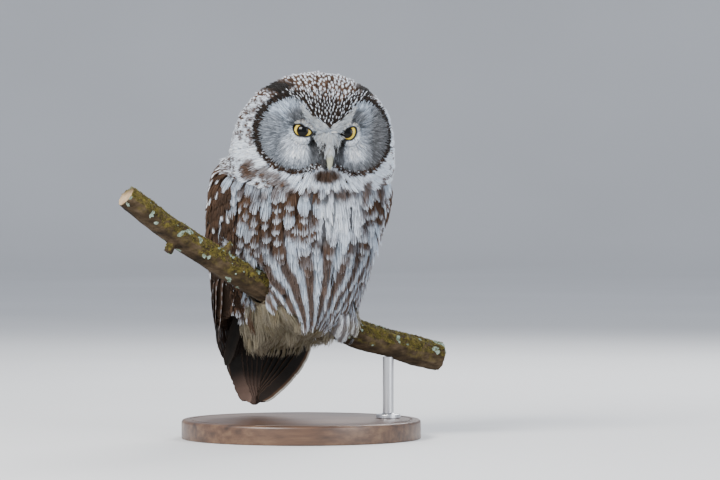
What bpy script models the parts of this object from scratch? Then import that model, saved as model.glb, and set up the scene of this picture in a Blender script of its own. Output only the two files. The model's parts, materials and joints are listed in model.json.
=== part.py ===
"""Boreal owl, life size, at rest on a cut length of branch on a display stand.

Metres, +Z up. The origin is the middle of the stand base's underside. The owl is drawn in its own
frame, facing -Y, and the empty "owl" turns and places it. The head has a frame of its own inside that.
"""

import math

import bmesh
import bpy
from mathutils import Matrix, Vector

GAP = 0.0004

# Where the owl stands, and how it is turned.
OWL_PLACE = Vector((0.014, -0.038, 0.0))
OWL_YAW = math.radians(24.0)
HEAD_CENTRE = Vector((0.0, 0.0145, 0.2255))
HEAD_YAW = math.radians(-8.3)
HEAD_PITCH = math.radians(6.0)
HEAD_ROLL = math.radians(2.0)

# Plumage outline at rising heights: height, half width, front and back.
BODY_BOTTOM = (0.0570, 0.077)
BODY_TOP = (0.2695, 0.006)
BODY_STATIONS = (
    (0.0600, 0.0170, 0.0600, 0.0920),
    (0.0660, 0.0265, 0.0440, 0.0955),
    (0.0730, 0.0325, 0.0240, 0.0970),
    (0.0800, 0.0380, 0.0040, 0.0980),
    (0.0880, 0.0405, -0.0080, 0.0985),
    (0.0980, 0.0440, -0.0130, 0.0985),
    (0.1100, 0.0475, -0.0165, 0.0980),
    (0.1314, 0.0540, -0.0215, 0.0965),
    (0.1533, 0.0595, -0.0255, 0.0925),
    (0.1752, 0.0625, -0.0285, 0.0860),
    (0.1898, 0.0630, -0.0300, 0.0800),
    (0.2008, 0.0620, -0.0330, 0.0740),
    (0.2117, 0.0605, -0.0365, 0.0680),
    (0.2263, 0.0580, -0.0375, 0.0610),
    (0.2409, 0.0530, -0.0345, 0.0530),
    (0.2519, 0.0445, -0.0295, 0.0450),
    (0.2600, 0.0345, -0.0225, 0.0360),
    (0.2660, 0.0205, -0.0120, 0.0240),
)
BODY_RINGS = 28
BODY_SEGMENTS = 42
BODY_SQUARENESS = 2.25
BODY_WIDEST = 0.47

# The head turns with its frame over this range of heights.
TWIST_START, TWIST_END = 0.188, 0.212

# The facial disc is two shallow dishes either side of the bill, in the head's frame.
DISH_MIDDLE = Vector((0.0225, 0.0, -0.001))
DISH_WIDTH, DISH_HEIGHT, DISH_DEPTH = 0.0225, 0.0285, 0.0075
RUFF_RISE, RUFF_REACH = 0.0012, 0.3

EYE_PLACE = Vector((0.0165, -0.0387, 0.0028))
EYE_RADIUS = 0.0085

# The bill's centreline is an arc that ends pointing down and a little back.
BILL_ROOT = Vector((0.0, -0.0435, -0.0075))
BILL_REACH, BILL_DROP, BILL_SWEEP = 0.0112, 0.0128, math.radians(105)
BILL_HALF_WIDTH, BILL_HALF_DEPTH = 0.0043, 0.0045
BILL_EDGE = 0.0003
LOWER_BILL_ROOT, LOWER_BILL_TIP = Vector((0, -0.0435, -0.0170)), Vector((0, -0.0505, -0.0210))
LOWER_BILL_HALF_WIDTH, LOWER_BILL_HALF_DEPTH = 0.0029, 0.0013

# Cut planes that part the body: a point, and how far the plane rises per metre towards the back.
NECK_TOP = (0.1925, 0.19)
NECK_BOTTOM = (0.1780, 0.16)
VENT_TOP = (0.0760, 0.32)

# Folded wing, right side: at falling heights, the front edge, the outermost line and the back edge.
WING_STATIONS = (
    (0.2060, (-0.0500, 0.036), (-0.0560, 0.051), (-0.0420, 0.0630)),
    (0.1980, (-0.0600, 0.022), (-0.0655, 0.046), (-0.0340, 0.0740)),
    (0.1850, (-0.0625, 0.015), (-0.0690, 0.046), (-0.0260, 0.0830)),
    (0.1700, (-0.0620, 0.016), (-0.0690, 0.050), (-0.0180, 0.0920)),
    (0.1500, (-0.0590, 0.023), (-0.0665, 0.057), (-0.0120, 0.0995)),
    (0.1300, (-0.0555, 0.032), (-0.0620, 0.065), (-0.0090, 0.1030)),
    (0.1100, (-0.0510, 0.042), (-0.0565, 0.073), (-0.0085, 0.1045)),
    (0.0850, (-0.0440, 0.057), (-0.0495, 0.083), (-0.0100, 0.1050)),
    (0.0600, (-0.0370, 0.074), (-0.0425, 0.092), (-0.0150, 0.1055)),
    (0.0470, (-0.0330, 0.087), (-0.0370, 0.098), (-0.0200, 0.1055)),
    (0.0400, (-0.0310, 0.093), (-0.0320, 0.099), (-0.0260, 0.1040)),
)
# How far the tip of the left wing lies closer in over the tail than that of the right.
LEFT_WING_TUCK = Vector((-0.0150, 0.0060))
WING_THICKNESS = 0.0085
WING_TIP_THICKNESS = 0.0030
WING_PARTING = (0.1060, -0.30)
WING_STEPS = 15
WING_SEGMENTS = 7

# Tail fan: its middle line from the rump to the tip, and half widths along it.
TAIL_ROOT, TAIL_TIP = Vector((0.0080, 0.0850, 0.1160)), Vector((-0.0090, 0.1010, 0.0235))
TAIL_WIDTHS = (
    (0.00, 0.0140),
    (0.30, 0.0260),
    (0.50, 0.0325),
    (0.67, 0.0300),
    (0.79, 0.0240),
    (0.94, 0.0125),
    (1.00, 0.0045),
)
TAIL_THICKNESS = 0.0036
# The fan arches by TAIL_CURVE where its half width is TAIL_CURVE_WIDTH.
TAIL_CURVE, TAIL_CURVE_WIDTH = 0.0060, 0.0265

# Perch: across, height and radius along it. In plan it runs straight, turned by PERCH_YAW.
PERCH_LINE = (
    (-0.1380, 0.1790, 0.0088),
    (-0.1212, 0.1635, 0.0090),
    (-0.0767, 0.1336, 0.0100),
    (-0.0467, 0.1146, 0.0105),
    (0.0000, 0.0890, 0.0105),
    (0.0270, 0.0767, 0.0108),
    (0.0526, 0.0686, 0.0110),
    (0.0880, 0.0590, 0.0114),
)
PERCH_CROSSING = Vector((-0.008, 0.018))
PERCH_YAW = math.radians(27.0)
PERCH_STEPS = 20
TWIG_STUBS = ((0.285, 20.0, 0.0026, 0.0065), (0.16, 175.0, 0.0034, 0.0060))

# Each foot: its place along the perch, in metres across.
FOOT_PLACES = {"right": -0.0240, "left": 0.0150}
FOOT_HALF_LENGTH = 0.0100
FOOT_THICKNESS = 0.0042
TOE_FRONT, TOE_BACK = math.radians(-112), math.radians(96)
FOOT_STEPS = 9
CLAW_SWEEP = math.radians(30)
CLAW_RADIUS = 0.0014
THIGHS = {
    "right": ((-0.025, 0.010, 0.1110), (0.0100, 0.0110, 0.0150)),
    "left": ((0.0150, 0.0180, 0.0950), (0.0125, 0.0175, 0.0245)),
}

BASE_RADIUS, BASE_THICKNESS, BASE_EDGE = 0.088, 0.014, 0.002
ROD_ACROSS, ROD_RADIUS = 0.0500, 0.0040
COLLAR_RADIUS, COLLAR_HEIGHT = 0.0090, 0.0040

FINISHES = {
    "plumage": ((0.62, 0.55, 0.49), 0.9, 0.0),
    "wing": ((0.27, 0.18, 0.13), 0.85, 0.0),
    "horn": ((0.62, 0.60, 0.42), 0.4, 0.0),
    "claw": ((0.05, 0.045, 0.04), 0.35, 0.0),
    "eye": ((0.75, 0.60, 0.08), 0.08, 0.0),
    "bark": ((0.27, 0.22, 0.10), 0.9, 0.0),
    "walnut": ((0.10, 0.055, 0.03), 0.4, 0.0),
    "steel": ((0.45, 0.45, 0.45), 0.3, 1.0),
}


def start_scene():
    """Removes what the file holds, and makes the two collections."""
    for obj in list(bpy.data.objects):
        bpy.data.objects.remove(obj, do_unlink=True)
    made = []
    for name in ("boreal_owl", "cutters"):
        collection = bpy.data.collections.new(name)
        bpy.context.scene.collection.children.link(collection)
        made.append(collection)
    return made


PARTS, CUTTERS = start_scene()


def finish_of(name):
    """The material of that name, made the first time it is asked for."""
    material = bpy.data.materials.get(name)
    if material is None:
        colour, roughness, metallic = FINISHES[name]
        material = bpy.data.materials.new(name)
        material.use_nodes = True
        shader = material.node_tree.nodes["Principled BSDF"]
        shader.inputs["Base Color"].default_value = (*colour, 1.0)
        shader.inputs["Roughness"].default_value = roughness
        shader.inputs["Metallic"].default_value = metallic
    return material


def empty_at(name, matrix, parent=None):
    """An empty that carries the pieces drawn in its frame."""
    empty = bpy.data.objects.new(name, None)
    PARTS.objects.link(empty)
    empty.parent = parent
    empty.matrix_local = matrix
    return empty


def placed(name, bm, finish, parent=None):
    """A new part from a bmesh, with its normals outwards and shaded smooth."""
    bmesh.ops.recalc_face_normals(bm, faces=bm.faces)
    mesh = bpy.data.meshes.new(name)
    bm.to_mesh(mesh)
    bm.free()
    mesh.shade_smooth()
    mesh.set_sharp_from_angle(angle=math.radians(40))
    mesh.materials.append(finish_of(finish))
    obj = bpy.data.objects.new(name, mesh)
    PARTS.objects.link(obj)
    obj.parent = parent
    return obj


def as_cutter(obj, grow=GAP):
    """A copy of a piece, grown along its normals, that cuts the gap it needs from its neighbours."""
    bm = bmesh.new()
    bm.from_mesh(obj.data)
    bm.normal_update()
    for vertex in bm.verts:
        vertex.co += vertex.normal * grow
    mesh = bpy.data.meshes.new(obj.name + "_cutter")
    bm.to_mesh(mesh)
    bm.free()
    cutter = bpy.data.objects.new(mesh.name, mesh)
    CUTTERS.objects.link(cutter)
    cutter.parent = obj.parent
    cutter.hide_render = True
    cutter.display_type = "WIRE"
    return cutter


def combine(obj, operation, *others):
    """Boolean modifiers on obj, one for each other piece."""
    for other in others:
        modifier = obj.modifiers.new(other.name, "BOOLEAN")
        modifier.operation = operation
        modifier.object = other


def settle(obj):
    """Applies the piece's cuts, and drops the crumbs that they leave beside its main body."""
    mesh = bpy.data.meshes.new_from_object(obj.evaluated_get(bpy.context.evaluated_depsgraph_get()))
    obj.modifiers.clear()
    bm = bmesh.new()
    bm.from_mesh(mesh)
    unseen = set(bm.verts)
    bodies = []
    while unseen:
        body, edge = set(), {unseen.pop()}
        while edge:
            body |= edge
            edge = {e.other_vert(v) for v in edge for e in v.link_edges} - body
        unseen -= body
        bodies.append(body)
    bodies.sort(key=len)
    for crumb in bodies[:-1]:
        bmesh.ops.delete(bm, geom=list(crumb), context="VERTS")
    bm.to_mesh(mesh)
    bm.free()
    obj.data = mesh


def smooth_between(stations, place):
    """The values at that place on a smooth curve through stations, whose first values are rising places."""
    places = [s[0] for s in stations]
    last = len(stations) - 1
    i = max(0, min(last - 1, sum(p <= place for p in places) - 1))
    t = (place - places[i]) / (places[i + 1] - places[i])
    around = [stations[max(0, min(last, i + k))] for k in (-1, 0, 1, 2)]
    values = []
    for p0, p1, p2, p3 in list(zip(*around))[1:]:
        first = p2 - p0
        second = 2 * p0 - 5 * p1 + 4 * p2 - p3
        third = 3 * p1 - p0 - 3 * p2 + p3
        values.append(p1 + (first * t + second * t**2 + third * t**3) / 2)
    return values


def loft(rings, first=None, last=None):
    """A bmesh through rings of equal counts. Each end closes on a point, or flat where none is given."""
    bm = bmesh.new()
    rows = [[bm.verts.new(p) for p in ring] for ring in rings]
    count = len(rows[0])
    for low, high in zip(rows, rows[1:]):
        for i in range(count):
            j = (i + 1) % count
            bm.faces.new((low[i], low[j], high[j], high[i]))
    for row, pole in ((rows[0], first), (rows[-1], last)):
        if pole is None:
            bm.faces.new(row)
            continue
        top = bm.verts.new(pole)
        for i in range(count):
            bm.faces.new((row[i], row[(i + 1) % count], top))
    return bm


def head_matrix():
    """The head's frame in the owl's frame."""
    matrix = Matrix.Translation(HEAD_CENTRE)
    for angle, axis in ((HEAD_YAW, "Z"), (HEAD_PITCH, "X"), (HEAD_ROLL, "Y")):
        matrix @= Matrix.Rotation(angle, 4, axis)
    return matrix


def shape_face(point, to_head, from_head):
    """Sinks the two dishes of the facial disc and raises the ruff round them."""
    q = to_head @ point
    if q.y > -0.010:
        return point
    nearest = 9.0
    sink = 0.0
    for side in (-1, 1):
        across = (q.x - side * DISH_MIDDLE.x) / DISH_WIDTH
        up = (q.z - DISH_MIDDLE.z) / DISH_HEIGHT
        reach = math.hypot(across, up)
        nearest = min(nearest, reach)
        sink += DISH_DEPTH * max(0.0, 1 - reach**2) ** 1.5
    if 1 < nearest < 1 + RUFF_REACH:
        sink -= RUFF_RISE * math.sin(math.pi * (nearest - 1) / RUFF_REACH)
    q.y += sink
    return from_head @ q


def body_ring(z):
    """One level round of the plumage, with more points at the front, where the face is."""
    half_width, front, back = smooth_between(BODY_STATIONS, z)
    middle = front + (back - front) * BODY_WIDEST
    power = 2 / BODY_SQUARENESS
    ring = []
    for i in range(BODY_SEGMENTS):
        turn = 2 * math.pi * i / BODY_SEGMENTS
        angle = turn - math.pi / 2 - 0.42 * math.sin(turn)
        c, s = math.cos(angle), math.sin(angle)
        x = half_width * math.copysign(abs(c) ** power, c)
        depth = (back - middle) if s > 0 else (middle - front)
        ring.append(Vector((x, middle + depth * math.copysign(abs(s) ** power, s), z)))
    share = max(0.0, min(1.0, (z - TWIST_START) / (TWIST_END - TWIST_START)))
    twist = Matrix.Rotation(HEAD_YAW * share, 4, "Z")
    axis = Vector((HEAD_CENTRE.x, HEAD_CENTRE.y, 0))
    return [axis + twist @ (point - axis) for point in ring]


def whole_body():
    """Head, neck, trunk and vent as one closed surface, in the owl's frame."""
    low, high = BODY_STATIONS[0][0], BODY_STATIONS[-1][0]
    rings = []
    for i in range(BODY_RINGS):
        share = i / (BODY_RINGS - 1)
        rings.append(body_ring(low + (high - low) * (share + 0.06 * math.sin(2 * math.pi * share) / 2)))
    frame = head_matrix()
    back = frame.inverted()
    rings = [[shape_face(p, back, frame) for p in ring] for ring in rings]
    return loft(rings, Vector((0, BODY_BOTTOM[1], BODY_BOTTOM[0])), Vector((0, BODY_TOP[1], BODY_TOP[0])))


def slice_between(bm, below=None, above=None):
    """Keeps what lies over the plane below and under the plane above, closed, half a gap from each."""
    for plane, keep_over in ((below, True), (above, False)):
        if plane is None:
            continue
        height, rise = plane
        normal = Vector((0, -rise, 1)).normalized()
        shift = GAP / 2 if keep_over else -GAP / 2
        cut = bmesh.ops.bisect_plane(
            bm,
            geom=bm.verts[:] + bm.edges[:] + bm.faces[:],
            dist=1e-6,
            plane_co=Vector((0, 0, height)) + normal * shift,
            plane_no=normal,
            clear_inner=keep_over,
            clear_outer=not keep_over,
        )
        rim = [e for e in cut["geom_cut"] if isinstance(e, bmesh.types.BMEdge)]
        bmesh.ops.contextual_create(bm, geom=rim)
    return bm


def eye(side, parent):
    """An eyeball, a little flatter towards the back of the head."""
    bm = bmesh.new()
    place = Vector((side * EYE_PLACE.x, EYE_PLACE.y, EYE_PLACE.z))
    face_forwards = Matrix.Rotation(math.pi / 2, 4, "X")
    bmesh.ops.create_uvsphere(
        bm, u_segments=14, v_segments=8, radius=EYE_RADIUS, matrix=Matrix.Translation(place) @ face_forwards
    )
    return placed("eye_left" if side > 0 else "eye_right", bm, "eye", parent)


def bill_ring(middle, along, half_width, half_depth, count=12):
    """One round of the bill, square to its centreline."""
    across = Vector((1, 0, 0))
    up = along.cross(across).normalized()
    ring = []
    for i in range(count):
        angle = 2 * math.pi * i / count
        ring.append(middle + across * half_width * math.cos(angle) + up * half_depth * math.sin(angle))
    return ring


def upper_bill(parent):
    steps = 9
    rings = []
    for i in range(steps):
        t = i / steps
        angle = BILL_SWEEP * t
        middle = BILL_ROOT + Vector((0, -BILL_REACH * math.sin(angle), -BILL_DROP * (1 - math.cos(angle))))
        along = Vector((0, -BILL_REACH * math.cos(angle), -BILL_DROP * math.sin(angle))).normalized()
        taper = (1 - t) ** 0.6
        half_width = BILL_HALF_WIDTH * taper + BILL_EDGE
        half_depth = BILL_HALF_DEPTH * taper + BILL_EDGE
        rings.append(bill_ring(middle, along, half_width, half_depth))
    tip = BILL_ROOT + Vector(
        (0, -BILL_REACH * math.sin(BILL_SWEEP), -BILL_DROP * (1 - math.cos(BILL_SWEEP)))
    )
    return placed("bill_upper", loft(rings, None, tip), "horn", parent)


def lower_bill(parent):
    steps = 5
    along = (LOWER_BILL_TIP - LOWER_BILL_ROOT).normalized()
    rings = []
    for i in range(steps):
        t = i / steps
        taper = (1 - t) ** 0.5
        half_width = LOWER_BILL_HALF_WIDTH * taper + BILL_EDGE
        half_depth = LOWER_BILL_HALF_DEPTH * taper + BILL_EDGE
        rings.append(bill_ring(LOWER_BILL_ROOT.lerp(LOWER_BILL_TIP, t), along, half_width, half_depth))
    return placed("bill_lower", loft(rings, None, LOWER_BILL_TIP), "horn", parent)


def wing_section(station, side, share):
    """One level crescent of the folded wing: out along its outer face and back along its inner one."""
    z, front, outer, back = station
    tuck = LEFT_WING_TUCK * share**2 if side > 0 else Vector((0, 0))
    corners = [Vector((tuck.x - side * x, tuck.y + y, z)) for x, y in (front, outer, back)]
    control = corners[1] * 2 - (corners[0] + corners[2]) / 2
    inwards = Vector((side, 0, 0)) * -1
    thickness = WING_THICKNESS + (WING_TIP_THICKNESS - WING_THICKNESS) * share
    outside, inside = [], []
    for i in range(WING_SEGMENTS + 1):
        t = i / WING_SEGMENTS
        point = corners[0] * (1 - t) ** 2 + control * 2 * t * (1 - t) + corners[2] * t**2
        slope = (control - corners[0]) * (1 - t) + (corners[2] - control) * t
        normal = Vector((slope.y, -slope.x, 0)).normalized()
        if normal.dot(inwards) < 0:
            normal.negate()
        depth = thickness * (0.25 + 0.75 * math.sin(math.pi * t) ** 0.6)
        outside.append(point)
        inside.append(point + normal * depth)
    return outside + inside[::-1]


def wing(side):
    """The whole folded wing, in the owl's frame. Side is 1 for the owl's left."""
    rings = []
    count = len(WING_STATIONS)
    flat = [(-z, *f, *o, *b) for z, f, o, b in WING_STATIONS]
    for i in range(WING_STEPS):
        share = i / (WING_STEPS - 1)
        place = flat[0][0] + (flat[-1][0] - flat[0][0]) * share
        fx, fy, ox, oy, bx, by = smooth_between(flat, min(place, flat[count - 1][0] - 1e-6))
        rings.append(wing_section((-place, (fx, fy), (ox, oy), (bx, by)), side, share))
    return loft(rings)


def tail_fan():
    """The closed tail: a fan plate, arched across, rounded at its end."""
    along = TAIL_TIP - TAIL_ROOT
    behind = Vector((0, 1, 0))
    behind = (behind - along * behind.dot(along) / along.length_squared).normalized()
    across = Vector((1, 0, 0))
    rings = []
    steps, half = 12, 6
    for i in range(steps):
        t = 1 - (1 - i / (steps - 1)) ** 1.5
        half_width = smooth_between(TAIL_WIDTHS, min(t, 0.9999))[0]
        middle = TAIL_ROOT + along * t
        upper, under = [], []
        for k in range(half + 1):
            u = -1 + 2 * k / half
            arch = -TAIL_CURVE * u**2 * (half_width / TAIL_CURVE_WIDTH)
            thick = TAIL_THICKNESS / 2 * (1 - 0.55 * abs(u)) * (1.5 - 0.7 * t)
            point = middle + across * half_width * u + behind * arch
            upper.append(point + behind * thick)
            under.append(point - behind * thick)
        rings.append(upper + under[::-1])
    return loft(rings)


def perch_at(across):
    """Middle and radius of the perch at that distance across."""
    x = max(PERCH_LINE[0][0], min(PERCH_LINE[-1][0] - 1e-7, across))
    z, radius = smooth_between(PERCH_LINE, x)
    y = PERCH_CROSSING.y + (x - PERCH_CROSSING.x) * math.tan(PERCH_YAW)
    return Vector((x, y, z)), radius


def perch_frame(across):
    """Along, up and forwards at that place on the perch, each of length 1."""
    along = (perch_at(across + 0.001)[0] - perch_at(across - 0.001)[0]).normalized()
    up = (Vector((0, 0, 1)) - along * along.z).normalized()
    return along, up, along.cross(up).normalized()


def curve_mesh(name, line, finish, parent):
    """A welded mesh of a round tube that follows line, a list of points with radii."""
    data = bpy.data.curves.new(name, "CURVE")
    data.dimensions = "3D"
    data.bevel_depth = 1.0
    data.bevel_resolution = 3
    data.use_fill_caps = True
    spline = data.splines.new("POLY")
    spline.points.add(len(line) - 1)
    for point, (place, radius) in zip(spline.points, line):
        point.co = (*place, 1.0)
        point.radius = radius
    tube = bpy.data.objects.new(name + "_line", data)
    PARTS.objects.link(tube)
    graph = bpy.context.evaluated_depsgraph_get()
    mesh = bpy.data.meshes.new_from_object(tube.evaluated_get(graph))
    bpy.data.objects.remove(tube)
    bm = bmesh.new()
    bm.from_mesh(mesh)
    bmesh.ops.remove_doubles(bm, verts=bm.verts, dist=1e-5)
    bpy.data.meshes.remove(mesh)
    return placed(name, bm, finish, parent)


def perch(parent):
    """The cut length of branch, with two stubs where twigs have broken off."""
    low, high = PERCH_LINE[0][0], PERCH_LINE[-1][0]
    line = []
    for i in range(PERCH_STEPS):
        middle, radius = perch_at(low + (high - low) * i / (PERCH_STEPS - 1))
        line.append((middle, radius * (1 + 0.03 * math.sin(2.3 * i))))
    branch = curve_mesh("perch", line, "bark", parent)
    for number, (share, degrees, radius, length) in enumerate(TWIG_STUBS):
        across = low + (high - low) * share
        middle, branch_radius = perch_at(across)
        _, up, forwards = perch_frame(across)
        angle = math.radians(degrees)
        out = (up * math.cos(angle) + forwards * math.sin(angle)).normalized()
        root = middle + out * (branch_radius - 0.004)
        tip = middle + out * (branch_radius + length)
        stub = curve_mesh(f"stub_{number}", [(root, radius * 1.3), (tip, radius)], "bark", parent)
        PARTS.objects.unlink(stub)
        CUTTERS.objects.link(stub)
        stub.hide_render = True
        stub.display_type = "WIRE"
        combine(branch, "UNION", stub)
    return branch


def toe_height(along, front):
    """How thick the foot is at that place along the perch: ridges for toes, three in front and one behind."""
    if front:
        ridge = abs(math.cos(1.5 * math.pi * along))
    else:
        ridge = math.cos(0.5 * math.pi * along) ** 0.5
    return FOOT_THICKNESS * (0.45 + 0.55 * ridge)


def sole_radius(radius):
    """How far the foot's flat facets stay from the middle of the perch, to clear its bark."""
    return radius * 1.035 / math.cos((TOE_BACK - TOE_FRONT) / FOOT_STEPS / 2) + GAP


def foot(side, parent):
    """A feathered foot: toes side by side, wrapped over the perch from front to back."""
    across = FOOT_PLACES[side]
    middle, radius = perch_at(across)
    along, up, forwards = perch_frame(across)
    steps, lanes = FOOT_STEPS, 8
    inner = sole_radius(radius)
    rings = []
    for i in range(steps + 1):
        angle = TOE_FRONT + (TOE_BACK - TOE_FRONT) * i / steps
        out = up * math.cos(angle) - forwards * math.sin(angle)
        end_taper = min(1.0, 0.35 + 2.6 * min(i, steps - i) / steps)
        blend = max(0.0, min(1.0, 0.5 - angle / 1.0))
        over, under = [], []
        for k in range(lanes + 1):
            place = -1 + 2 * k / lanes
            narrow = 1.0 if angle < 0 else 1.0 - 0.45 * min(1.0, angle / TOE_BACK)
            ridge = toe_height(place, True) * blend + toe_height(place, False) * (1 - blend)
            spot = middle + along * FOOT_HALF_LENGTH * place * narrow
            over.append(spot + out * (inner + ridge * end_taper))
            under.append(spot + out * inner)
        rings.append(over + under[::-1])
    return placed(f"foot_{side}", loft(rings), "plumage", parent)


def foot_pocket(side, parent):
    """The room that a foot and its claws take up round the perch, cut from the plumage over them."""
    middle, radius = perch_at(FOOT_PLACES[side])
    along, up, forwards = perch_frame(FOOT_PLACES[side])
    start, end = TOE_FRONT - CLAW_SWEEP - 0.12, TOE_BACK + CLAW_SWEEP + 0.12
    steps = 9
    rings = []
    for i in range(steps + 1):
        angle = start + (end - start) * i / steps
        out = up * math.cos(angle) - forwards * math.sin(angle)
        near, far = out * (radius - 0.002), out * (sole_radius(radius) + FOOT_THICKNESS + 1.5 * GAP)
        beside = along * (FOOT_HALF_LENGTH + GAP)
        rings.append([middle + v for v in (near - beside, near + beside, far + beside, far - beside)])
    pocket = placed(f"pocket_{side}", loft(rings), "plumage", parent)
    cutter = as_cutter(pocket, 0.0)
    bpy.data.objects.remove(pocket)
    return cutter


def claws(side, parent):
    """Four curved claws, each carrying on where its toe ends."""
    across = FOOT_PLACES[side]
    middle, radius = perch_at(across)
    along, up, forwards = perch_frame(across)
    inner = sole_radius(radius)
    ends = [(TOE_FRONT, -1, place) for place in (-0.62, 0.0, 0.62)] + [(TOE_BACK, 1, 0.0)]
    for number, (angle, way, place) in enumerate(ends, 1):
        steps = 4
        rings = []
        start = angle + way * 0.04
        root = middle + along * FOOT_HALF_LENGTH * place
        for i in range(steps):
            t = i / steps
            turn = start + way * CLAW_SWEEP * t
            out = up * math.cos(turn) - forwards * math.sin(turn)
            size = CLAW_RADIUS * (1 - t) ** 0.7 + 0.0002
            centre = root + out * (inner + CLAW_RADIUS + 0.0009 * math.sin(math.pi * t))
            rings.append(
                [
                    centre + (along * math.cos(a) + out * math.sin(a)) * size
                    for a in (math.pi * k / 3 for k in range(6))
                ]
            )
        turn = start + way * CLAW_SWEEP
        out = up * math.cos(turn) - forwards * math.sin(turn)
        tip = root + out * (inner + 0.0006)
        placed(f"claw_{side}_{number}", loft(rings, None, tip), "claw", parent)


def thigh(side, parent):
    """The feathered leg that reaches down to the foot and over the front of the perch."""
    middle, radii = THIGHS[side]
    bm = bmesh.new()
    matrix = Matrix.Translation(Vector(middle)) @ Matrix.Diagonal((*radii, 1.0))
    bmesh.ops.create_uvsphere(bm, u_segments=14, v_segments=9, radius=1.0, matrix=matrix)
    return placed(f"leg_{side}", bm, "plumage", parent)


def stand(parent, perch_cutter):
    """A flat round base, and one short rod that carries the perch."""
    centre = -OWL_PLACE
    bm = bmesh.new()
    bmesh.ops.create_cone(
        bm,
        cap_ends=True,
        segments=40,
        radius1=BASE_RADIUS,
        radius2=BASE_RADIUS,
        depth=BASE_THICKNESS,
        matrix=Matrix.Translation(centre + Vector((0, 0, BASE_THICKNESS / 2))),
    )
    base = placed("stand_base", bm, "walnut", parent)
    rim = base.modifiers.new("rim", "BEVEL")
    rim.width = BASE_EDGE
    rim.segments = 1
    middle, radius = perch_at(ROD_ACROSS)
    low = BASE_THICKNESS + GAP
    profile = (
        (low, COLLAR_RADIUS),
        (low + COLLAR_HEIGHT * 0.7, COLLAR_RADIUS),
        (low + COLLAR_HEIGHT, ROD_RADIUS + 0.0012),
        (low + COLLAR_HEIGHT * 1.2, ROD_RADIUS),
        (middle.z - radius * 0.6, ROD_RADIUS),
    )
    rings = []
    for z, r in profile:
        turns = [2 * math.pi * k / 20 for k in range(20)]
        rings.append([Vector((middle.x + r * math.cos(a), middle.y + r * math.sin(a), z)) for a in turns])
    rod = placed("stand_rod", loft(rings), "steel", parent)
    combine(rod, "DIFFERENCE", perch_cutter)


def build():
    place = empty_at("display", Matrix.Translation(OWL_PLACE))
    owl = empty_at("owl", Matrix.Rotation(OWL_YAW, 4, "Z"), place)
    head_frame = empty_at("head_frame", head_matrix(), owl)

    branch = perch(place)
    settle(branch)
    branch_cutter = as_cutter(branch)
    stand(place, branch_cutter)

    under_plumage = [branch_cutter]
    for side in FOOT_PLACES:
        foot(side, place)
        claws(side, place)
        under_plumage.append(foot_pocket(side, place))
    legs = [thigh(side, place) for side in FOOT_PLACES]
    leg_cutters = [as_cutter(leg) for leg in legs]
    for leg in legs:
        combine(leg, "DIFFERENCE", *under_plumage)

    body = placed("whole_body", whole_body(), "plumage", owl)
    body_cutter = as_cutter(body)
    bpy.data.objects.remove(body)
    tail = placed("tail", tail_fan(), "wing", owl)
    tail_cutter = as_cutter(tail)
    combine(tail, "DIFFERENCE", body_cutter)

    wings = []
    for side, word in ((-1, "right"), (1, "left")):
        for name, below, above in (("wing", WING_PARTING, None), ("primaries", None, WING_PARTING)):
            wings.append(placed(f"{name}_{word}", slice_between(wing(side), below, above), "wing", owl))
            combine(wings[-1], "DIFFERENCE", body_cutter, tail_cutter)

    sections = (
        ("head", NECK_TOP, None),
        ("neck", NECK_BOTTOM, NECK_TOP),
        ("trunk", VENT_TOP, NECK_BOTTOM),
        ("vent", None, VENT_TOP),
    )
    flesh = {}
    for name, below, above in sections:
        flesh[name] = placed(name, slice_between(whole_body(), below, above), "plumage", owl)
    for name in ("trunk", "vent"):
        combine(flesh[name], "DIFFERENCE", *under_plumage, *leg_cutters)

    eyes = [eye(side, head_frame) for side in (-1, 1)]
    bills = [upper_bill(head_frame), lower_bill(head_frame)]
    combine(flesh["head"], "DIFFERENCE", *(as_cutter(piece) for piece in eyes + bills))

    for piece in (*legs, tail, *wings, *flesh.values()):
        settle(piece)


build()
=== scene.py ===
import json
import math

import bmesh
import bpy
import numpy as np
from mathutils import Matrix, Vector, noise
from mathutils.bvhtree import BVHTree

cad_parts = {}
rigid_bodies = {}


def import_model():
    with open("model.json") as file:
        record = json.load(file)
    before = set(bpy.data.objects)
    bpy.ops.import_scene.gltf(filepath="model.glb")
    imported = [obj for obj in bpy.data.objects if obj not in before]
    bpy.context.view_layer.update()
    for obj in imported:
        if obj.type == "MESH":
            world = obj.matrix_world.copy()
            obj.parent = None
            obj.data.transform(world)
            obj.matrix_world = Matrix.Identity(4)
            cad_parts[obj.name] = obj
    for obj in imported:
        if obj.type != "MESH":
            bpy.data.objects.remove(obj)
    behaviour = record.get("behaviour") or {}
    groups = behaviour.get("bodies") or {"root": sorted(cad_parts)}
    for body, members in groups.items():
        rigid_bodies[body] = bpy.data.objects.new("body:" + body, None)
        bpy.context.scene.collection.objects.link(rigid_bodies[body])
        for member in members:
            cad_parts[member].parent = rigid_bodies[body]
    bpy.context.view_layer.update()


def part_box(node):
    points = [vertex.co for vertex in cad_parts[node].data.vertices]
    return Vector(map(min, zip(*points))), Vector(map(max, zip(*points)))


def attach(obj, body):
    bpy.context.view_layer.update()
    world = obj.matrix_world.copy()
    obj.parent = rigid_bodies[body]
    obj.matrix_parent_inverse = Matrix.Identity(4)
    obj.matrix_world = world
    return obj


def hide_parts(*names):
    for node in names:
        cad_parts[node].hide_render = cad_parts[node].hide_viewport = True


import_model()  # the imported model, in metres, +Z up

scene = bpy.context.scene
mm = 0.001


def unit(v):
    return v / np.maximum(np.linalg.norm(v, axis=-1, keepdims=True), 1e-12)


def smoothStep(low, high, x):
    t = np.clip((x - low) / (high - low), 0.0, 1.0)
    return t * t * (3 - 2 * t)


def mix(a, b, t):
    t = np.asarray(t)[..., None]
    return np.asarray(a) * (1 - t) + np.asarray(b) * t


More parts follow.
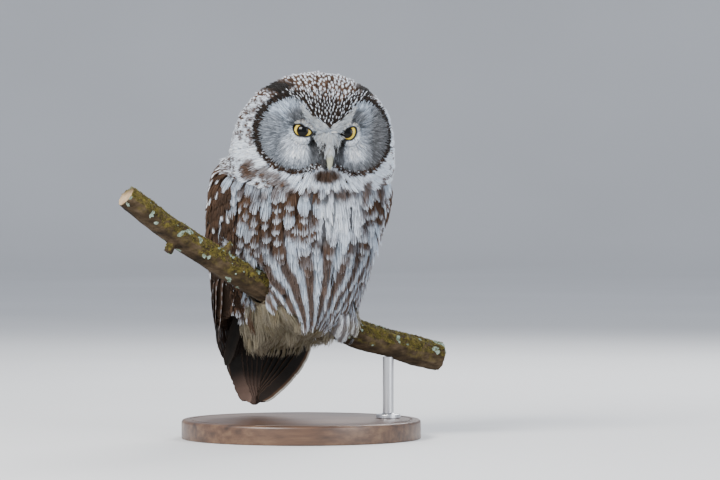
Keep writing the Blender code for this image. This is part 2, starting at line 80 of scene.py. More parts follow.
# How the bird is turned.
pose = {
    "owlPlace": (0.014, -0.038, 0.0),
    "bodyTurn": 24.0,  # degrees, towards the viewer's right
    "headTurn": -8.3,
    "headNod": 6.0,
    "headTilt": 2.0,
    "eyeInHead": (0.0165, -0.0387, 0.0028),  # the left eye, from the middle of the head
}


def turnBy(degrees, axis):
    return Matrix.Rotation(math.radians(degrees), 3, axis)


def boxCentre(node):
    low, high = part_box(node)
    return (np.array(low) + np.array(high)) / 2


bodyTurn = turnBy(pose["bodyTurn"], "Z")
headTurn = bodyTurn
for name, axis in (("headTurn", "Z"), ("headNod", "X"), ("headTilt", "Y")):
    headTurn = headTurn @ turnBy(pose[name], axis)
bodyAxes, headAxes = np.array(bodyTurn), np.array(headTurn)
owlPlace = np.array(pose["owlPlace"])
eyeCentres = {-1: boxCentre("eye_right"), 1: boxCentre("eye_left")}
headPlace = (eyeCentres[-1] + eyeCentres[1]) / 2 - headAxes @ np.array((0.0, *pose["eyeInHead"][1:]))


def toBody(p):
    return (p - owlPlace) @ bodyAxes


def fromBody(p):
    return np.asarray(p) @ bodyAxes.T + owlPlace


def toHead(p):
    return (p - headPlace) @ headAxes


# Camera, lights and floor.
view = {
    "target": (0.0432, -0.020, 0.146),
    "distance": 3.0,
    "rise": 1.0,  # degrees
    "frameWidth": 0.5256,  # metres across the picture, at the target
    "sensor": 36.0,  # millimetres
    "farthest": 30.0,
    "lamps": {  # place, size, power and colour of each
        "keyLight": ((-0.95, -1.25, 1.25), (0.9, 0.7), 67.0, (1.0, 0.985, 0.96)),
        "fillLight": ((1.3, -1.1, 0.6), (1.0, 1.0), 20.0, (0.93, 0.96, 1.0)),
        "rimLight": ((0.5, 1.2, 1.1), (0.8, 0.6), 26.0, (0.97, 0.98, 1.0)),
    },
    "lampAim": (0.01, -0.02, 0.15),
    "skyColour": (0.80, 0.86, 1.0),
    "skyStrength": 0.85,
    "floorNear": -6.0,
    "floorReach": 6.5,
    "floorLift": 3.6,
    "floorBend": 1.5,
    "floorSides": (-7.0, 7.0),
}


def makeView():
    data = bpy.data.cameras.new("camera")
    camera = bpy.data.objects.new("camera", data)
    scene.collection.objects.link(camera)
    data.sensor_width = view["sensor"]
    data.lens = view["sensor"] * view["distance"] / view["frameWidth"]
    data.clip_end = view["farthest"]
    rise = math.radians(view["rise"])
    back = Vector((0, -math.cos(rise), math.sin(rise))) * view["distance"]
    camera.location = Vector(view["target"]) + back
    camera.rotation_euler = (math.pi / 2 - rise, 0, 0)
    scene.camera = camera


def makeLights():
    for name, (spot, size, power, colour) in view["lamps"].items():
        data = bpy.data.lights.new(name, "AREA")
        data.shape = "RECTANGLE"
        data.size, data.size_y = size
        data.energy = power
        data.color = colour
        lamp = bpy.data.objects.new(name, data)
        scene.collection.objects.link(lamp)
        lamp.location = spot
        aim = Vector(view["lampAim"]) - Vector(spot)
        lamp.rotation_euler = aim.to_track_quat("-Z", "Y").to_euler()
    world = bpy.data.worlds.new("studio")
    world.use_nodes = True
    background = world.node_tree.nodes["Background"]
    background.inputs["Color"].default_value = (*view["skyColour"], 1)
    background.inputs["Strength"].default_value = view["skyStrength"]
    scene.world = world


def makeFloor():
    # A sweep: flat out to the front, curving up far behind.
    reach, bend = view["floorReach"], view["floorBend"]
    turns = [math.pi / 2 * k / 12 for k in range(1, 13)]
    profile = [(view["floorNear"], 0.0), (reach - bend, 0.0)]
    profile += [(reach - bend + bend * math.sin(a), bend - bend * math.cos(a)) for a in turns]
    profile.append((reach, view["floorLift"]))
    bm = bmesh.new()
    rows = [[bm.verts.new((x, y, z)) for y, z in profile] for x in view["floorSides"]]
    for i in range(len(profile) - 1):
        bm.faces.new((rows[0][i], rows[1][i], rows[1][i + 1], rows[0][i + 1]))
    mesh = bpy.data.meshes.new("floor")
    bm.to_mesh(mesh)
    bm.free()
    mesh.shade_smooth()
    floor = bpy.data.objects.new("floor", mesh)
    scene.collection.objects.link(floor)
    floor.data.materials.append(floorFinish())


class Finish:  # a material with short calls for its nodes
    def __init__(self, name):
        self.material = bpy.data.materials.new(name)
        self.material.use_nodes = True
        self.tree = self.material.node_tree
        self.shader = self.tree.nodes["Principled BSDF"]

    def set(self, values):
        for name, value in values.items():
            self.shader.inputs[name].default_value = (*value, 1.0) if isinstance(value, tuple) else value

    def node(self, kind, **settings):
        made = self.tree.nodes.new(kind)
        for name, value in settings.items():
            setattr(made, name, value)
        return made

    def join(self, socket, source):
        if isinstance(source, bpy.types.NodeSocket):
            self.tree.links.new(source, socket)
        else:
            socket.default_value = source

    def feed(self, node, **sources):
        for name, source in sources.items():
            self.join(node.inputs[name], source)

    def math(self, kind, a, b):
        made = self.node("ShaderNodeMath", operation=kind)
        for socket, source in zip(made.inputs, (a, b)):
            self.join(socket, source)
        return made.outputs[0]

    def noise(self, scale, detail=3.0, roughness=0.55, vector=None):
        made = self.node("ShaderNodeTexNoise")
        self.feed(made, Scale=scale, Detail=detail, Roughness=roughness, Vector=vector or self.objectSpace())
        return made.outputs["Fac"]

    def objectSpace(self):
        if not hasattr(self, "space"):
            self.space = self.node("ShaderNodeTexCoord").outputs["Object"]
        return self.space

    def stretched(self, scale, rotation=(0.0, 0.0, 0.0)):
        made = self.node("ShaderNodeMapping")
        self.feed(made, Vector=self.objectSpace(), Scale=scale, Rotation=rotation)
        return made.outputs[0]

    def ramp(self, factor, *stops):
        made = self.node("ShaderNodeValToRGB")
        elements = made.color_ramp.elements
        elements.remove(elements[1])
        for number, (place, colour) in enumerate(stops):
            element = elements.new(place) if number else elements[0]
            element.position = place
            element.color = (colour, colour, colour, 1.0) if isinstance(colour, float) else (*colour, 1.0)
        self.feed(made, Fac=factor)
        return made.outputs["Color"]

    def blend(self, factor, a, b, kind="MIX"):
        made = self.node("ShaderNodeMix", data_type="RGBA", blend_type=kind)
        sockets = [s for s in made.inputs if s.enabled]
        for socket, source in zip(sockets, (factor, a, b)):
            self.join(socket, source)
        return [s for s in made.outputs if s.enabled][0]

    def attribute(self, name):
        return self.node("ShaderNodeAttribute", attribute_name=name).outputs

    def bump(self, height, strength, distance):
        made = self.node("ShaderNodeBump")
        self.feed(made, Height=height, Strength=strength, Distance=distance)
        self.tree.links.new(made.outputs[0], self.shader.inputs["Normal"])

    def colour(self, source):
        self.tree.links.new(source, self.shader.inputs["Base Color"])

    def rough(self, source):
        self.tree.links.new(source, self.shader.inputs["Roughness"])


def floorFinish():
    finish = Finish("paleSweep")
    tone = finish.ramp(finish.noise(1.7, 2.0), (0.3, (0.60, 0.60, 0.59)), (0.7, (0.64, 0.64, 0.63)))
    finish.colour(tone)
    finish.set({"Roughness": 0.85})
    return finish.material


def featherFinish(name, roughness, sheen):
    # The plumage's colour is painted on its points; this adds the fine breaks between barbs.
    finish = Finish(name)
    painted = finish.attribute("coatColour")["Color"]
    fine = finish.noise(2600.0, 2.0)
    tone = finish.ramp(fine, (0.3, 0.80), (0.72, 1.0))
    finish.colour(finish.blend(1.0, painted, tone, "MULTIPLY"))
    finish.bump(fine, 0.35, 0.0004)
    finish.set({"Roughness": roughness, "Sheen Weight": sheen, "Sheen Roughness": 0.5})
    finish.set({"Specular IOR Level": 0.15})
    return finish.material


finishes = {"plume": featherFinish("softPlumage", 0.8, 0.03), "vane": featherFinish("firmVane", 0.6, 0.02)}


def place(name, mesh, slot, *nodes, material=None):
    piece = bpy.data.objects.new(name, mesh)
    scene.collection.objects.link(piece)
    if material is not None:
        mesh.materials.append(material)
    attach(piece, "root")
    if nodes:
        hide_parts(*nodes)
    return piece


def paintPoints(mesh, name, colours):
    full = np.ones((len(mesh.vertices), 4), np.float32)
    full[:, :3] = colours
    mesh.color_attributes.new(name, "FLOAT_COLOR", "POINT").data.foreach_set("color", full.ravel())


def meshOf(name, points, triangles, colours=None, sheet=None):
    mesh = bpy.data.meshes.new(name)
    mesh.vertices.add(len(points))
    mesh.vertices.foreach_set("co", np.asarray(points, np.float32).ravel())
    mesh.loops.add(3 * len(triangles))
    mesh.loops.foreach_set("vertex_index", np.asarray(triangles, np.int32).ravel())
    mesh.polygons.add(len(triangles))
    mesh.polygons.foreach_set("loop_start", np.arange(len(triangles), dtype=np.int32) * 3)
    mesh.update(calc_edges=True)
    if colours is not None:
        paintPoints(mesh, "coatColour", colours)
    if sheet is not None:
        layer = mesh.uv_layers.new(name="OFBake")
        layer.data.foreach_set("uv", np.asarray(sheet, np.float32)[np.asarray(triangles).ravel()].ravel())
    mesh.shade_smooth()
    return mesh


def cadShape(*nodes, grow=0.0):
    # A merged copy of CAD nodes, each grown a little along its normals.
    whole = bmesh.new()
    for node in nodes:
        bm = bmesh.new()
        bm.from_mesh(bpy.data.objects[node].data)
        bmesh.ops.remove_doubles(bm, verts=bm.verts, dist=1e-6)
        bm.normal_update()
        for vertex in bm.verts:
            vertex.co += vertex.normal * grow
        copy = bpy.data.meshes.new("copy")
        bm.to_mesh(copy)
        bm.free()
        whole.from_mesh(copy)
        bpy.data.meshes.remove(copy)
    return whole


def treeOf(*nodes):
    shape = cadShape(*nodes)
    tree = BVHTree.FromBMesh(shape)
    shape.free()
    return tree


def evaluated(obj):
    # The object's final shape as a plain mesh; the object itself goes.
    mesh = bpy.data.meshes.new_from_object(obj.evaluated_get(bpy.context.evaluated_depsgraph_get()))
    bpy.data.objects.remove(obj)
    return mesh


def remeshed(bm, name, size):
    mesh = bpy.data.meshes.new(name)
    bm.to_mesh(mesh)
    bm.free()
    obj = bpy.data.objects.new(name, mesh)
    scene.collection.objects.link(obj)
    remesh = obj.modifiers.new("remesh", "REMESH")
    remesh.mode = "VOXEL"
    remesh.voxel_size = size
    return evaluated(obj)


def readOut(items, name, width, kind):
    values = np.empty(len(items) * width, kind)
    items.foreach_get(name, values)
    return values.reshape(-1, width)


def pointsOf(mesh):
    return readOut(mesh.vertices, "co", 3, np.float32).astype(float)


def normalsOf(mesh):
    return readOut(mesh.vertex_normals, "vector", 3, np.float32).astype(float)


def edgesOf(mesh):
    return readOut(mesh.edges, "vertices", 2, np.int32)


def relax(values, edges, rounds, share=0.5):
    # Averages each point's value with its neighbours'.
    count = np.bincount(edges.ravel(), minlength=len(values)).astype(float)
    flat = values.reshape(len(values), -1)
    for _ in range(rounds):
        total = np.zeros_like(flat)
        for column in range(flat.shape[1]):
            total[:, column] = np.bincount(edges[:, 0], flat[edges[:, 1], column], len(flat))
            total[:, column] += np.bincount(edges[:, 1], flat[edges[:, 0], column], len(flat))
        flat = flat * (1 - share) + share * total / np.maximum(count, 1)[:, None]
    return flat.reshape(values.shape)


# The skin under the feathers.
skinSettings = {
    "voxel": 1.6 * mm,
    "closeGaps": 0.6 * mm,
    "depth": {  # how far the skin lies under the tips of the feathers
        "head": 3.4 * mm,
        "neck": 5.0 * mm,
        "trunk": 6.5 * mm,
        "vent": 6.0 * mm,
        "leg_left": 4.0 * mm,
        "leg_right": 4.0 * mm,
        "foot_left": 0.9 * mm,
        "foot_right": 0.9 * mm,
        "wing_left": 2.4 * mm,
        "wing_right": 2.4 * mm,
    },
    "faceDepth": 2.2 * mm,
    "socketDepth": 5.0 * mm,  # over the eyes, whose balls stand out of the skin
    "backDepth": 4.2 * mm,
    "sinkShare": 0.42,  # of a thin edge's thickness, which each of its faces may sink at most
}


skinNodes = list(skinSettings["depth"])


def onParts(parts, *names):
    return np.isin(parts, [skinNodes.index(name) for name in names])


def faceReach(h):
    # 1 on the rim of the facial disc, less inside it. h is in the head's frame.
    side = np.abs(h[..., 0])
    across = (side - 0.0225) / 0.0245
    up = (h[..., 2] - 0.0008) / 0.0253
    reach = np.hypot(across, up)
    return np.where(h[..., 1] > -0.008, 9.0, reach)


def eyeReach(h):
    # How far from the nearer eye, seen from the front.
    return np.hypot(np.abs(h[:, 0]) - pose["eyeInHead"][0], h[:, 2] - pose["eyeInHead"][2])


def wedgeEdge(h):
    # Above 0 inside the spotted wedge that runs down the forehead to the brows.
    heights = np.array((0.0, 6.5, 11.0, 18.0, 26.0, 31.0, 40.0)) * mm
    halves = np.array((-6.5, 0.0, 8.6, 16.0, 24.0, 31.0, 44.0)) * mm
    return np.interp(h[..., 2], heights, halves) - np.abs(h[..., 0] + 0.0004)


class Surface:
    def __init__(self, mesh, depth, part):
        self.mesh, self.depth, self.part = mesh, depth, part
        self.points = pointsOf(mesh)
        self.normals = unit(relax(normalsOf(mesh), edgesOf(mesh), 3))
        polygons = [tuple(p.vertices) for p in mesh.polygons]
        self.corners = np.array([p if len(p) == 4 else (*p, p[-1]) for p in polygons])
        self.tree = BVHTree.FromPolygons([tuple(p) for p in self.points], polygons)
        self.partOfFace = part[self.corners[:, 0]]

    def nearest(self, points):
        found = [self.tree.find_nearest(p) for p in points]
        place = np.array([f[0] for f in found])
        faces = np.array([f[2] for f in found])
        around = self.corners[faces]
        return place, unit(self.normals[around].mean(1)), self.depth[around].mean(1), faces

    def scatter(self, keep, spacing, seed):
        # Roots about one spacing apart on the faces that keep() allows.
        rng = np.random.default_rng(seed)
        quad = self.points[self.corners]
        faces = np.nonzero(keep(quad.mean(1), self.partOfFace))[0]
        diagonals = quad[faces, 2] - quad[faces, 0], quad[faces, 3] - quad[faces, 1]
        area = np.linalg.norm(np.cross(*diagonals), axis=1) / 2
        tries = int(area.sum() / spacing**2 * 9)  # many more than fit
        chosen = rng.choice(faces, tries, p=area / area.sum())
        u, v = rng.random((2, tries, 1))
        q = quad[chosen]
        spots = (q[:, 0] * (1 - u) + q[:, 1] * u) * (1 - v) + (q[:, 3] * (1 - u) + q[:, 2] * u) * v
        cells, kept = {}, []
        for i, spot in enumerate(spots):
            key = tuple((spot // spacing).astype(int))
            near = (
                other
                for dx in (-1, 0, 1)
                for dy in (-1, 0, 1)
                for dz in (-1, 0, 1)
                for other in cells.get((key[0] + dx, key[1] + dy, key[2] + dz), ())
            )
            if all(((spots[j] - spot) ** 2).sum() > spacing**2 for j in near):
                cells.setdefault(key, []).append(i)
                kept.append(i)
        return spots[kept]


def evenSurface(mesh, depth):
    # A surface of one part under a coat of one depth.
    count = len(mesh.vertices)
    return Surface(mesh, np.full(count, depth), np.zeros(count, int))


def makeSkin():
    grown = cadShape(*skinNodes, "eye_left", "eye_right", grow=skinSettings["closeGaps"])
    mesh = remeshed(grown, "skinBody", skinSettings["voxel"])
    points, normals, edges = pointsOf(mesh), normalsOf(mesh), edgesOf(mesh)
    nearest = np.full(len(points), 9.0)
    part = np.zeros(len(points), int)
    for number, node in enumerate(skinNodes):
        tree = treeOf(node)
        gaps = np.array([tree.find_nearest(p, 0.01)[3] or 9.0 for p in points])
        closer = gaps < nearest
        part[closer] = number
        nearest = np.minimum(nearest, gaps)
    depth = np.array(list(skinSettings["depth"].values()))[part]
    head, body = toHead(points), toBody(points)
    face = smoothStep(1.15, 0.95, faceReach(head)) * onParts(part, "head")
    depth = depth + (skinSettings["faceDepth"] - depth) * face
    socket = smoothStep(0.0098, 0.0078, eyeReach(head)) * (head[:, 1] < -0.02)
    depth = depth + (skinSettings["socketDepth"] - depth) * socket
    back = smoothStep(0.045, 0.075, body[:, 1]) * onParts(part, "trunk", "neck")
    depth = depth + (skinSettings["backDepth"] - depth) * back
    depth = relax(depth, edges, 6)
    # A thin edge keeps some thickness, so that its two faces never pass each other.
    outer = BVHTree.FromPolygons([tuple(p) for p in points], [tuple(p.vertices) for p in mesh.polygons])
    limit = np.ones(len(points))
    for i, (point, normal) in enumerate(zip(points, normals)):
        hit = outer.ray_cast(Vector(point - normal * 1e-4), Vector(-normal), 0.02)
        if hit[3] is not None:
            limit[i] = max(0.0, skinSettings["sinkShare"] * hit[3] - skinSettings["closeGaps"])
    depth = np.minimum(relax(np.minimum(depth, limit), edges, 4), limit)
    shrunk = points - unit(relax(normals, edges, 4)) * (depth + skinSettings["closeGaps"])[:, None]
    shrunk = relax(shrunk, edges, 3)
    mesh.vertices.foreach_set("co", shrunk.astype(np.float32).ravel())
    mesh.update()
    return Surface(mesh, depth, part)


makeView()
makeLights()
makeFloor()
print("owl: camera, lights and floor are up")
skin = makeSkin()
print("owl: skin has", len(skin.points), "points")


tuftSettings = {
    "steps": 6,  # along each spine
    "rootDepth": 0.25 * mm,  # of the roots under the skin
    "leastDepth": 0.6 * mm,  # of the coat, so that no tip sinks into the skin
    "perchGap": 0.3 * mm,
    "perchReach": 14.0 * mm,  # how deep inside the perch a point is still moved out
    "longestTip": 1.4 * mm,
    "patch": 0.003,  # of the map, for each tuft
    "share": 90000,  # triangles grown at a time
    "pieceLimit": 190000,  # triangles in one piece
}
usualTuft = {
    "vary": 0.15, "stray": 0.12, "stiff": 0.16, "round": 0.25, "ragged": 0.08, "narrow": 0.3, "wander": 0.1,
    "lift": 0.9, "ruffle": 0.12, "loose": 0.05, "thick": 0.35, "patchy": 0.12,
    "scale": lambda p: np.ones(len(p)),
}


def onto(direction, normal):
    return unit(direction - normal * (direction * normal).sum(-1, keepdims=True))


def mapPlace(points):
    # Where a root falls on the skin unrolled about the body's upright axis.
    b = toBody(points)
    turn = np.arctan2(b[..., 0], 0.038 - b[..., 1]) / (2 * math.pi) + 0.5
    return np.stack([0.01 + 0.98 * turn, 0.01 + 0.98 * (b[..., 2] - 0.03) / 0.25], -1)


def outOf(tree, points, gap):
    # Points inside a closed shape move to just outside it.
    moved = points.copy()
    for i, point in enumerate(points):
        place, normal, _, distance = tree.find_nearest(point)
        side = (Vector(point) - place).dot(normal)
        if side < gap and distance < tuftSettings["perchReach"]:
            moved[i] = place + normal * gap
    return moved


def growTufts(roots, flow, style, paint, seed, obstacle=None, surface=None):
    # Fans of closed, pointed locks that lie along the skin.
    surface = surface or skin
    style = {**usualTuft, **style}
    rng = np.random.default_rng(seed)
    count, locks, steps = len(roots), style["locks"], tuftSettings["steps"]
    rings = np.array(style["rings"])

    # A spine for every tuft, marched over the skin along the lie of the coat.
    size = 1 + style["vary"] * rng.uniform(-1, 1, count)
    scale = style["scale"](roots)
    length = style["length"] * size * scale
    breadth = style["halfWidth"] * size * scale
    place, normal, _, _ = surface.nearest(roots)
    way = onto(unit(flow(place)) + style["stray"] * rng.normal(size=(count, 3)), normal)
    # Where the skin falls away sharply, the tuft goes on straight.
    free = np.zeros(count, bool)
    spine, sides, ups, frees = [place], [np.cross(normal, way)], [normal], [free]
    for _ in range(steps):
        ahead = place + way * (length / steps)[:, None]
        found, turned, _, _ = surface.nearest(ahead)
        falls = ((found - ahead) * normal).sum(-1) < -style["stiff"] * length / steps
        free = free | falls
        place = np.where(free[:, None], ahead, found)
        normal = np.where(free[:, None], normal, turned)
        bent = onto(way + 0.5 * onto(flow(place), normal), normal)
        way = np.where(free[:, None], unit(way + np.array((0, 0, -0.06))), bent)
        spine.append(place)
        sides.append(np.cross(normal, way))
        ups.append(normal)
        frees.append(free)
    spine, sides, ups, frees = np.array(spine), np.array(sides), np.array(ups), np.array(frees)

    # Every lock keeps its place across the tuft; outer ones end sooner.
    across = np.linspace(-1, 1, locks)[None, :] + rng.uniform(-1, 1, (count, locks)) * 0.8 / locks
    ends = 1 - style["round"] * across**2 + style["ragged"] * rng.uniform(-1, 1, (count, locks))
    along = ends[..., None] * rings
    at = np.clip(along * steps, 0, steps - 1e-6)
    low = at.astype(int)
    part = (at - low)[..., None]
    tuft = np.arange(count)[:, None, None]
    middle = spine[low, tuft] * (1 - part) + spine[low + 1, tuft] * part
    side = unit(sides[low, tuft] * (1 - part) + sides[low + 1, tuft] * part)
    opened = style["narrow"] + (1 - style["narrow"]) * along**0.6
    wander = style["wander"] * rng.normal(size=(count, locks, 1)) * along
    offset = breadth[:, None, None] * (across[..., None] * opened + wander)
    flat = (middle + side * offset[..., None]).reshape(-1, 3)
    foot, up, depth, _ = surface.nearest(flat)
    shape = (count, locks, len(rings))
    foot, up = foot.reshape(*shape, 3), up.reshape(*shape, 3)
    depth = np.maximum(depth.reshape(shape), tuftSettings["leastDepth"])
    loose = (frees[low + 1, tuft] | frees[low, tuft])[..., None]
    foot = np.where(loose, flat.reshape(*shape, 3), foot)
    up = np.where(loose, unit(ups[low + 1, tuft]), up)

    # Heights: the root is inside the skin, the tip at the coat's full depth.
    lift = style["lift"] * (1 + style["ruffle"] * rng.normal(size=(count, 1, 1)))
    lift = lift + style["loose"] * rng.normal(size=(count, locks, 1))
    height = depth * lift * along**0.75
    height[..., 0] = -tuftSettings["rootDepth"]
    core = foot + up * height[..., None]
    if obstacle is not None:
        moved = outOf(obstacle, core[..., 1:, :].reshape(-1, 3), tuftSettings["perchGap"])
        core[..., 1:, :] = moved.reshape(count, locks, -1, 3)

    # Three-sided sections.
    run = np.empty_like(core)
    run[..., 1:, :] = core[..., 1:, :] - core[..., :-1, :]
    run[..., 0, :] = run[..., 1, :]
    run = onto(run, up)
    edge = np.cross(up, run)
    full = style["lockWidth"] * (1 + 0.3 * rng.uniform(-1, 1, (count, locks, 1)))
    full = full * np.sqrt(scale)[:, None, None]
    profile = np.interp(rings, (0, 0.35, 0.75, 1), (0.6, 1.0, 0.85, 0.3))
    half = (full * profile / 2)[..., None]
    thick = (full * profile * style["thick"])[..., None]
    ring = np.stack([core + edge * half, core + up * thick, core - edge * half], -2)
    r = len(rings)
    last = core[..., -1, :] - core[..., -2, :]
    reach = np.minimum(np.linalg.norm(last, axis=-1, keepdims=True), tuftSettings["longestTip"])
    tip = core[..., -1, :] + unit(last) * reach * 0.6
    points = np.concatenate([ring.reshape(count * locks, r * 3, 3), tip.reshape(count * locks, 1, 3)], 1)
    pairs = ((0, 1), (1, 2), (2, 0))
    base = np.array([(k + i, k + j, k + 3 + j, k + 3 + i) for k in range(0, 3 * r - 3, 3) for i, j in pairs])
    end = [(r * 3 - 3 + i, r * 3 - 3 + j, r * 3) for i, j in pairs]
    base = np.concatenate([base[:, (0, 1, 2)], base[:, (0, 2, 3)], end, [(0, 2, 1)]])
    triangles = (base[None] + (np.arange(count * locks) * (r * 3 + 1))[:, None, None]).reshape(-1, 3)

    # Colours and map, at every ring and tip.
    v = np.concatenate([along, ends[..., None] * 1.04], -1)
    u = np.repeat(across[..., None], r + 1, -1)
    who = rng.random((count, 1, 1, 4))
    shade = 1 + style["patchy"] * rng.normal(size=(count, locks, 1, 1))
    spots = np.concatenate([core, tip[..., None, :]], 2)
    colour = paint(roots[:, None, None, :], u, v, who, spots) * np.clip(shade, 0.55, 1.5)
    spread = [3] * r + [1]
    colours = np.repeat(colour, spread, axis=2).reshape(-1, 3)
    spot = mapPlace(roots)[:, None, None, :] + tuftSettings["patch"] * np.stack([u / 2, v - 0.5], -1)
    sheet = np.repeat(spot, spread, axis=2).reshape(-1, 2)
    return points.reshape(-1, 3), triangles, np.clip(colours, 0, 1), sheet


def joined(parts):
    starts = np.cumsum([0] + [len(part[0]) for part in parts])
    points = np.concatenate([part[0] for part in parts])
    return points, np.concatenate([part[1] + start for part, start in zip(parts, starts)])


coatTotal = 0


def coatPiece(name, parts, slot="plumage", finish="plume"):
    # Joins what grew into as few pieces as stay under the limit of triangles.
    global coatTotal
    groups, size = [[]], 0
    for part in parts:
        if size + len(part[1]) > tuftSettings["pieceLimit"] and groups[-1]:
            groups.append([])
            size = 0
        groups[-1].append(part)
        size += len(part[1])
    for number, group in enumerate(groups):
        points, triangles = joined(group)
        colours, sheet = (np.concatenate([part[k] for part in group]) for k in (2, 3))
        coatTotal += len(triangles)
        label = name + (str(number + 1) if len(groups) > 1 else "")
        place(label, meshOf(label, points, triangles, colours, sheet), slot, material=finishes[finish])
        print("owl:", label, "has", len(triangles), "triangles")


# Colours of the plumage.
tones = {
    "white": (0.83, 0.89, 0.97),
    "cool": (0.50, 0.58, 0.68),
    "cream": (0.62, 0.60, 0.54),
    "grey": (0.16, 0.165, 0.165),
    "dusk": (0.115, 0.115, 0.118),
    "brown": (0.082, 0.045, 0.026),
    "warm": (0.155, 0.084, 0.047),
    "umber": (0.026, 0.015, 0.009),
    "black": (0.008, 0.007, 0.006),
    "buff": (0.155, 0.122, 0.058),
    "pink": (0.20, 0.13, 0.10),
}
tones = {name: np.array(tone) for name, tone in tones.items()}


def cloud(points, size, seed=0.0):
    # Smooth noise from -1 to 1 over the points.
    flat = np.asarray(points).reshape(-1, 3) / size + seed
    values = np.array([noise.noise(Vector(p)) for p in flat])
    return values.reshape(np.asarray(points).shape[:-1]) * 1.6


def blot(u, v, at, halfWide, halfLong, soft=0.25):
    # 1 inside an oval spot on the tuft.
    reach = np.hypot(u / halfWide, (v - at) / halfLong)
    return smoothStep(1 + soft, 1 - soft, reach)


def oval(h, x, z, halfWide, halfHigh, soft=0.35):
    # 1 inside an oval of the head's two sides, measured from the front.
    reach = np.hypot((np.abs(h[..., 0]) - x) / halfWide, (h[..., 2] - z) / halfHigh)
    return smoothStep(1 + soft, 1 - soft, reach)


def faceTone(h):
    # The facial disc, in the head's frame.
    left = h[..., 0] > 0
    x, z = np.abs(h[..., 0]), h[..., 2]
    tone = mix(tones["cool"] * 0.58, tones["white"], 0.08 + 0 * x)
    tone = mix(tone, tones["white"], oval(h, 0.0225, -0.0085, 0.0105, 0.0110, 0.5))
    tone = mix(tone, tones["cool"], 0.7 * oval(h, 0.0310, 0.0180, 0.0090, 0.0065))
    # Smoky over the eye and towards the disc's outer edge and below it, more so on the left, where the extra
    # darkness is painted shade on the side turned from the light.
    tone = mix(tone, tones["dusk"], 0.80 * oval(h, 0.0225, 0.0150, 0.0075, 0.0055))
    reach = np.where(left, smoothStep(0.032, 0.018, z), smoothStep(0.020, 0.008, z))
    edge = smoothStep(0.025, 0.037, x) * reach * np.where(left, 0.92, 0.50)
    tone = mix(tone, tones["dusk"], edge)
    tone = mix(tone, tones["dusk"], smoothStep(-0.014, -0.022, z) * np.where(left, 0.75, 0.45) * (x > 0.010))
    # Black from the eye's inner corner down beside the bill, then smoky to the chin.
    lore = smoothStep(0.0038, 0.0024, np.abs(x - 0.0106 - 0.14 * (z + 0.004))) * smoothStep(0.0045, 0.0025, z)
    tone = mix(tone, tones["black"], 0.94 * lore * smoothStep(-0.016, -0.006, z))
    tone = mix(tone, tones["dusk"] * 0.6, 0.85 * oval(h, 0.0080, -0.0145, 0.0055, 0.0075))
    return mix(tone, tones["black"], 0.7 * oval(h, 0.0265, 0.0085, 0.0030, 0.0016))


browBorder = (
    np.array((0.0, 8.6, 16.0, 24.0)) * mm,  # the wedge's edge over the brow
    np.array((6.5, 11.0, 18.0, 26.0)) * mm,
    np.array((0.0, 5.0, 7.6, 10.2, 12.6, 15.0, 17.2)) * mm,  # the edge under it, down to the bill
    np.array((-10.0, -7.5, -1.0, 4.6, 8.6, 12.6, 18.5)) * mm,
)


def browEdge(h):
    # Above 0 on the pale brows and on the bridge that joins them over the bill.
    x, z = np.abs(h[..., 0]), h[..., 2]
    above, below = np.interp(x, *browBorder[:2]), np.interp(x, *browBorder[2:])
    return np.where(x < 0.0175, np.minimum(above - z, z - below), -1.0)


# Each paint function gives colours over the tufts: u runs across one and v along it, and who holds
# four random values of each.
def paintFace(root, u, v, who, spots):
    tone = faceTone(toHead(spots) + 0.0012 * (who[..., :3] - 0.5))
    streak = (who[..., 3] - 0.5) * 0.75 + 0.25 * (v - 0.5) + 0 * u
    return tone * (1 + streak[..., None] * (tone.mean(-1, keepdims=True) > 0.05))


def paintBrow(root, u, v, who, spots):
    tone = mix(tones["cream"], tones["cool"], 0.25 + 0.5 * who[..., 1])
    return tone * (0.55 + 0.45 * who[..., 0] + 0.2 * v)[..., None]


def paintLore(root, u, v, who, spots):
    low = smoothStep(-0.004, -0.014, toHead(spots)[..., 2])
    ground = mix(tones["black"], tones["umber"], 0.5 * who[..., 0])
    return mix(ground, tones["dusk"], low * (0.3 + 0.5 * who[..., 1]) + 0 * v)


def paintRuff(root, u, v, who, spots):
    # Black above, browner below, with white ends to many of its feathers.
    h = toHead(root)
    low = smoothStep(-0.006, -0.018, h[..., 2])
    dark = mix(tones["black"], tones["umber"], who[..., 1])
    dark = mix(dark, tones["brown"], low * 0.7 * who[..., 2])
    moustache = (np.abs(h[..., 0]) < 0.018) * (h[..., 2] < -0.016)
    chance = 0.06 + 0.24 * low + 0.5 * smoothStep(1.01, 1.05, faceReach(h)) + 0.35 * moustache
    fleck = (who[..., 0] < chance) * smoothStep(0.6, 0.78, v) * smoothStep(0.9, 0.5, np.abs(u))
    return mix(dark, tones["white"] * 0.9, fleck * 0.95)


def paintForehead(root, u, v, who, spots):
    fleck = blot(u, v, 0.84, 0.43, 0.16)
    ground = mix(tones["black"], tones["umber"], 0.3 + 0.7 * who[..., 1])
    return mix(ground, tones["white"], fleck * 0.97)


def paintCrown(root, u, v, who, spots):
    h = toHead(root)
    corner = oval(h, 0.0295, 0.0305, 0.0085, 0.0045, 0.5) * (h[..., 1] < 0.0)
    ground = mix(tones["brown"] * 0.75, tones["warm"], 0.45 * who[..., 1])
    ground = mix(ground, tones["black"], 0.97 * corner)
    wide = 0.60 + 0.10 * smoothStep(-0.01, 0.03, h[..., 1])
    fleck = blot(u, v, 0.83, wide, 0.155 + 0.03 * who[..., 0]) * (1 - corner) ** 3
    return mix(ground, tones["white"], fleck * 0.97)


